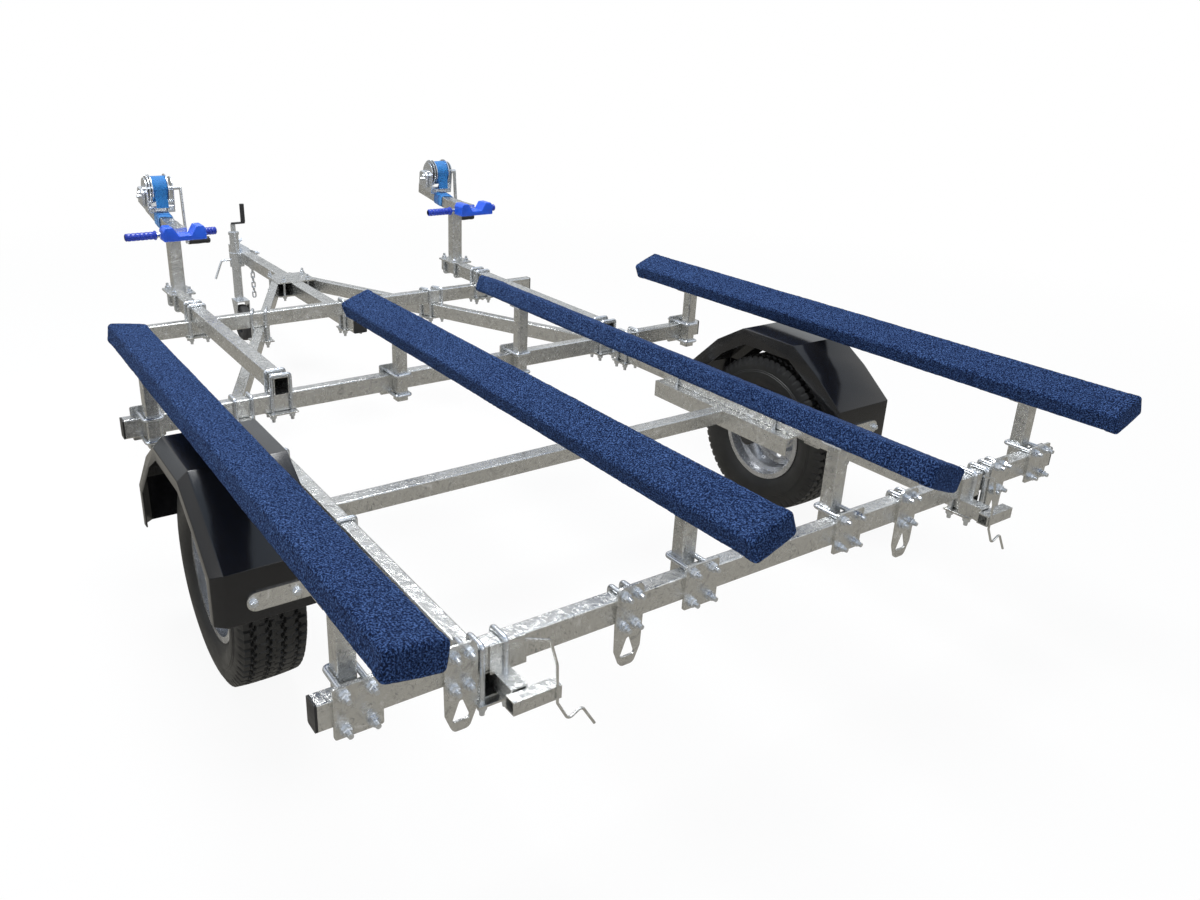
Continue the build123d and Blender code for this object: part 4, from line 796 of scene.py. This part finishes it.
# tyres
tyreSet = {
    "radius": 288 * mm,
    "side": ((-0.071, 0.158), (-0.071, 0.170), (-0.0735, 0.1745), (-0.0765, 0.178), (-0.084, 0.188),
             (-0.0895, 0.202), (-0.0925, 0.218), (-0.0930, 0.232), (-0.0915, 0.2335), (-0.0912, 0.238),
             (-0.0895, 0.2395), (-0.0892, 0.252), (-0.0872, 0.262), (-0.0848, 0.270), (-0.0815, 0.2762)),
    "inside": ((0.060, 0.158), (0.061, 0.173), (0.080, 0.205), (0.081, 0.235), (0.070, 0.262)),
    "insideRadius": 266 * mm,
    "treadHalf": 78 * mm,
    "treadSteps": 46,
    "crown": 3.6 * mm,
    "pitches": 64,
    "perPitch": 8,
    "grooves": (-55 * mm, -18 * mm, 18 * mm, 55 * mm),
    "grooveFloor": 268 * mm,
    "grooveWidth": 7.5 * mm,
    "grooveDepth": 8 * mm,
    "zigzag": 3.2 * mm,
    "shoulder": 60 * mm,
    "sipeReach": 52 * mm,
    "sipeDepth": 3.5 * mm,
}


def tyreProfile():
    half, steps = tyreSet["treadHalf"], tyreSet["treadSteps"]
    tread = []
    for i in range(steps + 1):
        along = -half + 2 * half * i / steps
        tread.append((along, tyreSet["radius"] - tyreSet["crown"] * (abs(along) / half) ** 2.4))
    side, inside = list(tyreSet["side"]), list(tyreSet["inside"])
    return side + tread + flipped(side) + inside + [(0.0, tyreSet["insideRadius"])] + flipped(inside)


def treadDepth(angle, along, radius):
    # how deep the tread is cut: four wavy grooves, shoulder slots and fine sipes
    if radius < tyreSet["grooveFloor"]:
        return 0.0
    phase = angle * tyreSet["pitches"] / (2 * math.pi) % 1.0
    for i, groove in enumerate(tyreSet["grooves"]):
        shift = tyreSet["zigzag"] if (phase + 0.5 * (i % 2)) % 1.0 < 0.5 else -tyreSet["zigzag"]
        if abs(along - groove - shift * (1 if i % 2 else -1)) < tyreSet["grooveWidth"] / 2:
            return tyreSet["grooveDepth"]
    if abs(along) > tyreSet["shoulder"] and phase < 0.2:
        return 0.7 * tyreSet["grooveDepth"]
    if abs(along) < tyreSet["sipeReach"] and (phase + (0.5 if along > 0 else 0.0) + along * 6) % 1.0 < 0.13:
        return tyreSet["sipeDepth"]
    return 0.0


for name, side in sides:
    steps = tyreSet["pitches"] * tyreSet["perPitch"]
    shape = lathe(tyreProfile(), centreOf(f"tyre_{name}"), (0, side, 0), steps, treadDepth)
    addPiece(f"treadTyre_{name}", shape, f"wheel_{name}", "tyre", (f"tyre_{name}",))
print("tyres cut")

# wheel nuts, hub cap and valve
wheelSet = {
    "nuts": 5,
    "nutCircle": 57 * mm,
    "disc": 30 * mm,
    "nut": (11.5, 13, 6.2, 20, 14, 3),
    "cap": ((0.0595, 0.0), (0.0595, 0.022), (0.062, 0.026), (0.064, 0.030), (0.066, 0.031), (0.078, 0.029),
            (0.083, 0.024), (0.085, 0.012), (0.0855, 0.0)),
    "valve": (112 * mm, -4 * mm, 95 * mm),
    "stem": ((0.030, 0.0), (0.030, 0.0045), (0.048, 0.0045), (0.049, 0.0055), (0.060, 0.0055), (0.062, 0.004),
             (0.062, 0.0)),
}


def makeWheelTrim(name, side):
    body, centre, outward = f"wheel_{name}", centreOf(f"tyre_{name}"), (0, side, 0)
    spots = []
    for i in range(wheelSet["nuts"]):
        angle = 2 * math.pi * i / wheelSet["nuts"]
        x, z = wheelSet["nutCircle"] * math.cos(angle), wheelSet["nutCircle"] * math.sin(angle)
        spots.append((centre + Vector((x, side * wheelSet["disc"], z)), outward))
    growNuts(f"wheelNuts_{name}", spots, wheelSet["nut"], body)
    addPiece(f"hubCap_{name}", lathe(wheelSet["cap"], centre, outward, 40), body, "zinc")
    x, y, z = wheelSet["valve"]
    stem = lathe(wheelSet["stem"], centre + Vector((x, side * y, z)), outward, 14)
    addPiece(f"valveStem_{name}", stem, body, "black_rubber")


for name, side in sides:
    makeWheelTrim(name, side)

# mudguards: softened edges, and the nuts of their stays
guardSet = {"edge": 1.8 * mm, "stayBolts": (0.969, 1.071), "stayZ": 0.413, "nut": (9.5, 7, 5, 13, 12, 2)}
low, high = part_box("guard_stays")
guardSpots = []
for name, side in sides:
    softCopy(f"mudguard_{name}", f"guardMoulding_{name}", "guard_plastic", guardSet["edge"])
    for x, way in ((low.x, -1), (high.x, 1)):
        for y in guardSet["stayBolts"]:
            guardSpots.append(((x, side * y, guardSet["stayZ"]), (way, 0, 0)))
growNuts("stayNuts", guardSpots, guardSet["nut"], "chassis")
print("mudguards and wheel trim done")

# bow blocks
for name, _ in sides:
    softCopy(f"bow_snubber_{name}", f"bowBlock_{name}", "blue_poly", 3.5 * mm)

# hand grips: moulded rings over a hollow sleeve
gripSet = {
    "radius": 15.5 * mm,
    "bore": 10.2 * mm,
    "rib": 1.5 * mm,
    "ribSteps": 54,
    "flange": 18.5 * mm,
    "ends": ((-1, 56 * mm, 3), (1, 118 * mm, 6)),  # direction, length, ribs
}


def makeGrips(name):
    low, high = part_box(f"hand_grips_{name}")
    centre, reach = (low + high) / 2, (high.y - low.y) / 2
    radius, bore, rib, flange = (gripSet[k] for k in ("radius", "bore", "rib", "flange"))
    parts = []
    for way, length, ribs in gripSet["ends"]:
        profile = [(-length, bore), (-length, radius + 1 * mm), (-length + 0.003, flange),
                   (-length + 0.007, flange), (-length + 0.010, radius)]
        for i in range(gripSet["ribSteps"] + 1):
            share = i / gripSet["ribSteps"]
            wave = abs(math.sin(math.pi * ribs * share))
            profile.append((-length + 0.012 + share * (length - 0.020), radius - rib + rib * wave ** 0.6))
        profile += [(-0.005, radius), (-0.002, radius - 2 * mm), (0.0, radius - 5 * mm), (0.0, 0.0002),
                    (-0.003, 0.0002), (-0.003, bore)]
        parts.append(lathe(profile, centre + Vector((0, way * reach, 0)), (0, way, 0), 28))
    addPiece(f"ribbedGrips_{name}", gather(parts), "chassis", "blue_grip", (f"hand_grips_{name}",))


for name, _ in sides:
    makeGrips(name)

# winches: wound strap, tail, gear, gear cover, tie rods and crank grip
winchSet = {
    "lean": 8.0,
    "deckDrop": 88 * mm,
    "boltSpread": 30 * mm,
    "boltLift": 4 * mm,
    "nut": (7.5, 6, 4, 12, 9, 1.6),
    "tieRods": ((-0.040, 0.022), (0.040, 0.022)),  # along and above the arm
    "tieRadius": 4.5 * mm,
}
strapSet = {
    "radius": 52 * mm,
    "core": 9.2 * mm,
    "half": 29.2 * mm,
    "layer": 2.4 * mm,
    "tailStart": 1.2 * mm,
    "tailLift": 4 * mm,
    "tail": ((0.010, 0.0), (-0.012, 0.001), (-0.040, 0.007), (-0.066, 0.016)),  # up, back
    "tailHalf": 24 * mm,
    "tailThickness": 2.2 * mm,
    "armHalf": 25 * mm,
    "wraps": ((-0.095, 0.0022), (-0.066, 0.0040)),  # along the arm, clear of it
    "wrapHalf": 21 * mm,
    "wrapThickness": 2.4 * mm,
    "wrapSkew": 10 * mm,
}
gearSet = {
    "radius": 59 * mm,
    "tooth": 3 * mm,
    "teeth": 54,
    "bore": 10 * mm,
    "half": 2.2 * mm,
    "inset": 12 * mm,
}
coverSet = {
    "place": (20 * mm, -34 * mm),
    "outline": ((-0.034, -0.034), (0.034, -0.034), (0.036, 0.024), (0.024, 0.036), (-0.024, 0.036),
                (-0.036, 0.024)),
    "layers": ((0.0005, 0.0), (0.012, 0.0), (0.016, 0.07)),  # depth, how far the outline draws in
    "bolts": ((0.0, 0.0), (-0.02, 0.022)),
}
crankSet = {
    "radius": 13 * mm,
    "back": 20 * mm,
    "shape": ((-0.002, 0.7), (0.001, 1.0), (0.006, 1.12), (0.014, 1.10), (0.022, 1.02), (0.052, 1.12),
              (0.078, 1.04), (0.086, 1.10), (0.0905, 0.98)),
}


def drumAxis(name):
    return centreOf(f"winch_strap_{name}")


def makeWoundStrap(name):
    radius, core, half = strapSet["radius"], strapSet["core"], strapSet["half"]
    layers = int((radius - core) / strapSet["layer"])
    drawn = random.Random("strap" + name)
    edge = [(core + (radius - core) * i / layers, half - drawn.uniform(0.0, 1.1) * mm) for i in range(layers + 1)]
    side = [(-half + 2 * mm, core)]
    for out, reach in edge[1:]:
        side += [(-reach, out - 1.9 * mm), (-reach - 0.4 * mm, out - 1.0 * mm), (-reach, out - 0.2 * mm)]
    side.append((-half * 0.5, radius + 0.2 * mm))
    shape = lathe(side + [(0, radius)] + flipped(side), drumAxis(name), (0, 1, 0), 72)
    addPiece(f"woundStrap_{name}", shape, f"winch_drum_{name}", "webbing", (f"winch_strap_{name}",))


def ribbon(line, halfWidth, thickness):
    # a flat strap along a line of points, its width across the trailer
    across = Vector((0, halfWidth, 0))
    rings = []
    for i, point in enumerate(line):
        along = line[min(i + 1, len(line) - 1)] - line[max(i - 1, 0)]
        face = along.cross(across).normalized() * thickness / 2
        rings.append([point + across + face, point - across + face, point - across - face, point + across - face])
    return ringSkin(rings, closed=False, capped=True)


def armFrame(name):
    # the drum's axis, the arm's top face below it, and the arm's own directions
    lean = math.radians(winchSet["lean"])
    forward = Vector((math.cos(lean), 0, math.sin(lean)))
    up = Vector((-math.sin(lean), 0, math.cos(lean)))
    axis = drumAxis(name)
    return axis, axis - up * winchSet["deckDrop"], forward, up


def makeStrapTail(name):
    axis, deck, forward, up = armFrame(name)
    # down from the back of the drum to the arm
    backTop = axis - forward * (strapSet["radius"] + strapSet["tailStart"]) + up * strapSet["tailLift"]
    line = [backTop + up * rise - forward * back for rise, back in strapSet["tail"]]
    parts = [ribbon(line, strapSet["tailHalf"], strapSet["tailThickness"])]
    # wrapped twice round the arm
    wide = forward * strapSet["wrapHalf"]
    for step, lift in strapSet["wraps"]:
        half = strapSet["armHalf"] + lift
        centre = deck + forward * step - up * strapSet["armHalf"]
        rings = []
        for i in range(32):
            angle = 2 * math.pi * i / 32
            c, s = math.cos(angle), math.sin(angle)
            reach = min(half / max(abs(c), abs(s)), half * 1.24)
            out = Vector((0, c * reach, 0)) + up * (s * reach)
            away = out.normalized() * strapSet["wrapThickness"] / 2
            here = centre + out + forward * (strapSet["wrapSkew"] * c * reach / half)
            rings.append([here + away + wide, here + away - wide, here - away - wide, here - away + wide])
        parts.append(ringSkin(rings))
    addPiece(f"strapTail_{name}", gather(parts), "chassis", "webbing")


def makeDrumGear(name):
    # the big gear turns with the drum, just inside the cheek
    axis = drumAxis(name)
    centre = Vector((axis.x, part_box(f"winch_frame_{name}")[1].y - gearSet["inset"], axis.z))
    across = Vector((0, gearSet["half"], 0))
    rings = []
    count = gearSet["teeth"] * 4
    for i in range(count):
        angle = 2 * math.pi * i / count
        way = Vector((math.cos(angle), 0, math.sin(angle)))
        inner = centre + way * gearSet["bore"]
        outer = centre + way * (gearSet["radius"] - (0 if i % 4 in (0, 1) else gearSet["tooth"]))
        rings.append([inner - across, outer - across, outer + across, inner + across])
    addPiece(f"drumGear_{name}", ringSkin(rings), f"winch_drum_{name}", "zinc", smooth=False)


def makeGearCover(name):
    # a cover on the outer cheek, the nuts on it and on the arm, and tie rods between the cheeks
    axis, deck, forward, up = armFrame(name)
    frameLow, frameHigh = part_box(f"winch_frame_{name}")
    along, rise = coverSet["place"]
    middle = Vector((axis.x, frameHigh.y, axis.z)) + up * rise + forward * along
    corners = [middle + forward * u + up * v for u, v in coverSet["outline"]]
    rings = [[p + Vector((0, depth, 0)) + (middle - p) * pull for p in corners]
             for depth, pull in coverSet["layers"]]
    cover = meshFrom(f"pinionBox_{name}", *ringSkin(rings, closed=False, capped=True), "zinc")
    finishPiece(bevelled(cover, 1.5 * mm, 2), "chassis")
    face = middle + Vector((0, coverSet["layers"][-1][0], 0))
    spots = [(face + forward * u + up * v, (0, 1, 0)) for u, v in coverSet["bolts"]]
    spacing = winchSet["boltSpread"]
    for u in (-spacing, spacing):
        for v in (-spacing, spacing):
            spots.append((deck + forward * u + Vector((0, v, 0)) + up * winchSet["boltLift"], tuple(up)))
    growNuts(f"winchBolts_{name}", spots, winchSet["nut"], "chassis")
    bars = []
    for u, v in winchSet["tieRods"]:
        start = deck + forward * u + up * v
        bars.append([Vector((start.x, y, start.z)) for y in (frameLow.y + 1 * mm, frameHigh.y - 1 * mm)])
    growRods(f"winchTieRods_{name}", bars, winchSet["tieRadius"], 1 * mm, "chassis")


def makeCrankGrip(name):
    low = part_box(f"winch_drum_{name}")[0]
    radius, shape = crankSet["radius"], crankSet["shape"]
    tip = Vector((drumAxis(name).x - crankSet["back"], low.y, low.z + radius))
    profile = [(along, radius * share) for along, share in shape]
    profile = [(shape[0][0], 0.0002), *profile, (shape[-1][0], 0.0002)]
    addPiece(f"crankGrip_{name}", lathe(profile, tip, (0, 1, 0), 28), f"winch_drum_{name}", "black_plastic")


for name, _ in sides:
    makeWoundStrap(name)
    makeStrapTail(name)
    makeDrumGear(name)
    makeGearCover(name)
    makeCrankGrip(name)
print("winches dressed")

# jockey wheel: tyre on a hub, and the nuts of its axle
jockeySet = {
    "tyre": ((-0.023, 0.062), (-0.025, 0.070), (-0.026, 0.080), (-0.024, 0.090), (-0.019, 0.0975),
             (-0.008, 0.100)),
    "hub": ((-0.025, 0.0065), (-0.025, 0.018), (-0.014, 0.022), (-0.012, 0.054), (-0.023, 0.058),
            (-0.023, 0.0625)),
    "nut": (9, 7, 5, 12, 11, 1.6),
}


def makeJockeyWheel():
    centre = centreOf("jockey_wheel")
    tyre, hub = (list(jockeySet[k]) + flipped(jockeySet[k]) for k in ("tyre", "hub"))
    addPiece("jockeyTyre", lathe(tyre, centre, (0, 1, 0), 64), "jockey_wheel", "black_rubber", ("jockey_wheel",))
    addPiece("jockeyHub", lathe(hub, centre, (0, 1, 0), 48), "jockey_wheel", "black_plastic")
    low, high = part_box("jockey_fork")
    spots = [((centre.x, y, centre.z), (0, way, 0)) for y, way in ((low.y, -1), (high.y, 1))]
    growNuts("jockeyAxleNuts", spots, jockeySet["nut"], "jockey_fork")


makeJockeyWheel()
print("jockey wheel dressed")

# coupling: cross bolts
couplingSet = {"bolts": (22 * mm, 62 * mm), "rise": 48 * mm}
low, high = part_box("coupling")
spots = [((low.x + step, way * high.y, low.z + couplingSet["rise"]), (0, way, 0))
         for step in couplingSet["bolts"] for way in (-1, 1)]
growNuts("couplingBolts", spots, guardSet["nut"], "chassis")
print("coupling bolted")

# floor, lights and background
stageSet = {
    "floor": 60.0,
    "tint": (0.80, 0.80, 0.80, 1),
    "ground": (0.36, 0.345, 0.31, 1),
    "fade": (2.5, 6.0, 0.93, 1.0),  # how far out from and to, share of plain white from and to
    "light": (0.80, 0.42),  # strength of the sky in reflections and as diffuse light
}
skyStops = (  # height of the direction from 0 straight down to 1 straight up, colour
    (0.00, (0.30, 0.285, 0.255)),
    (0.44, (0.36, 0.345, 0.31)),
    (0.48, (0.03, 0.03, 0.03)),
    (0.54, (0.05, 0.055, 0.06)),
    (0.57, (0.80, 0.85, 0.90)),
    (0.74, (1.0, 1.0, 1.0)),
    (1.00, (0.66, 0.80, 1.0)),
)


def makeFloor():
    # white to the camera with soft shadows, pale ground in reflections
    mesh = bpy.data.meshes.new("studioFloor")
    half = stageSet["floor"]
    mesh.from_pydata([(-half, -half, 0), (half, -half, 0), (half, half, 0), (-half, half, 0)], [], [(0, 1, 2, 3)])
    floor = link("studioFloor", mesh)
    material, tree, shader = newMaterial("paleFloor")
    setInputs(shader, {"Base Color": stageSet["tint"], "Roughness": 1.0, "Specular IOR Level": 0.0})
    white = addNode(tree, "ShaderNodeEmission")
    ground = addNode(tree, "ShaderNodeEmission", Color=stageSet["ground"])
    path = addNode(tree, "ShaderNodeLightPath")
    place = addNode(tree, "ShaderNodeTexCoord")
    reach = addNode(tree, "ShaderNodeVectorMath", operation="LENGTH")
    setInputs(reach, {0: place.outputs["Object"]})
    amount = addNode(tree, "ShaderNodeMath", operation="MULTIPLY")
    setInputs(amount, {1: spread(tree, reach.outputs["Value"], *stageSet["fade"])})
    seen = addNode(tree, "ShaderNodeMixShader")
    mix = addNode(tree, "ShaderNodeMixShader")
    joinLinks(tree, (((path, "Is Camera Ray"), (amount, 0)), ((amount, 0), (seen, 0)), ((shader, 0), (seen, 1)),
                     ((white, 0), (seen, 2)), ((path, "Is Glossy Ray"), (mix, 0)), ((seen, 0), (mix, 1)),
                     ((ground, 0), (mix, 2)), ((mix, 0), (tree.nodes["Material Output"], 0))))
    mesh.materials.append(material)


def makeSky():
    # white to the camera; a sky over a dark skyline and pale ground to everything else
    world = bpy.data.worlds.new("studio")
    world.use_nodes = True
    tree = world.node_tree
    tree.nodes.clear()
    place = addNode(tree, "ShaderNodeTexCoord")
    split = addNode(tree, "ShaderNodeSeparateXYZ", Vector=place.outputs["Generated"])
    white = addNode(tree, "ShaderNodeBackground", Color=(1.0, 1.0, 1.0, 1.0), Strength=1.0)
    path = addNode(tree, "ShaderNodeLightPath")
    sky = ramp(tree, spread(tree, split.outputs["Z"], -1, 1, 0, 1), skyStops)
    power = spread(tree, path.outputs["Is Diffuse Ray"], 0, 1, *stageSet["light"])
    light = addNode(tree, "ShaderNodeBackground", Color=sky, Strength=power)
    through = addNode(tree, "ShaderNodeMath", operation="MAXIMUM")
    mix = addNode(tree, "ShaderNodeMixShader")
    out = addNode(tree, "ShaderNodeOutputWorld")
    joinLinks(tree, (((path, "Is Camera Ray"), (through, 0)), ((path, "Is Transmission Ray"), (through, 1)),
                     ((through, 0), (mix, 0)), ((light, 0), (mix, 1)), ((white, 0), (mix, 2)),
                     ((mix, 0), (out, 0))))
    bpy.context.scene.world = world


lampSet = (  # name, place, aim, size, watts
    ("overhead", (0.4, 0.6, 6.0), (0.0, 0.0, 0.4), 3.2, 380),
    ("leftFill", (-2.5, 5.2, 2.8), (0.0, 0.0, 0.4), 2.2, 25),
    ("rearFill", (-6.2, -1.5, 3.0), (-0.5, 0.0, 0.4), 2.2, 25),
)


def makeLamps():
    for name, place, aim, size, watts in lampSet:
        data = bpy.data.lights.new(name, "AREA")
        data.shape = "DISK"
        data.size = size
        data.energy = watts
        turn = (Vector(aim) - Vector(place)).to_track_quat("-Z", "Y").to_matrix().to_4x4()
        link(name, data).matrix_world = Matrix.Translation(place) @ turn


makeFloor()
makeSky()
makeLamps()
print("stage lit")
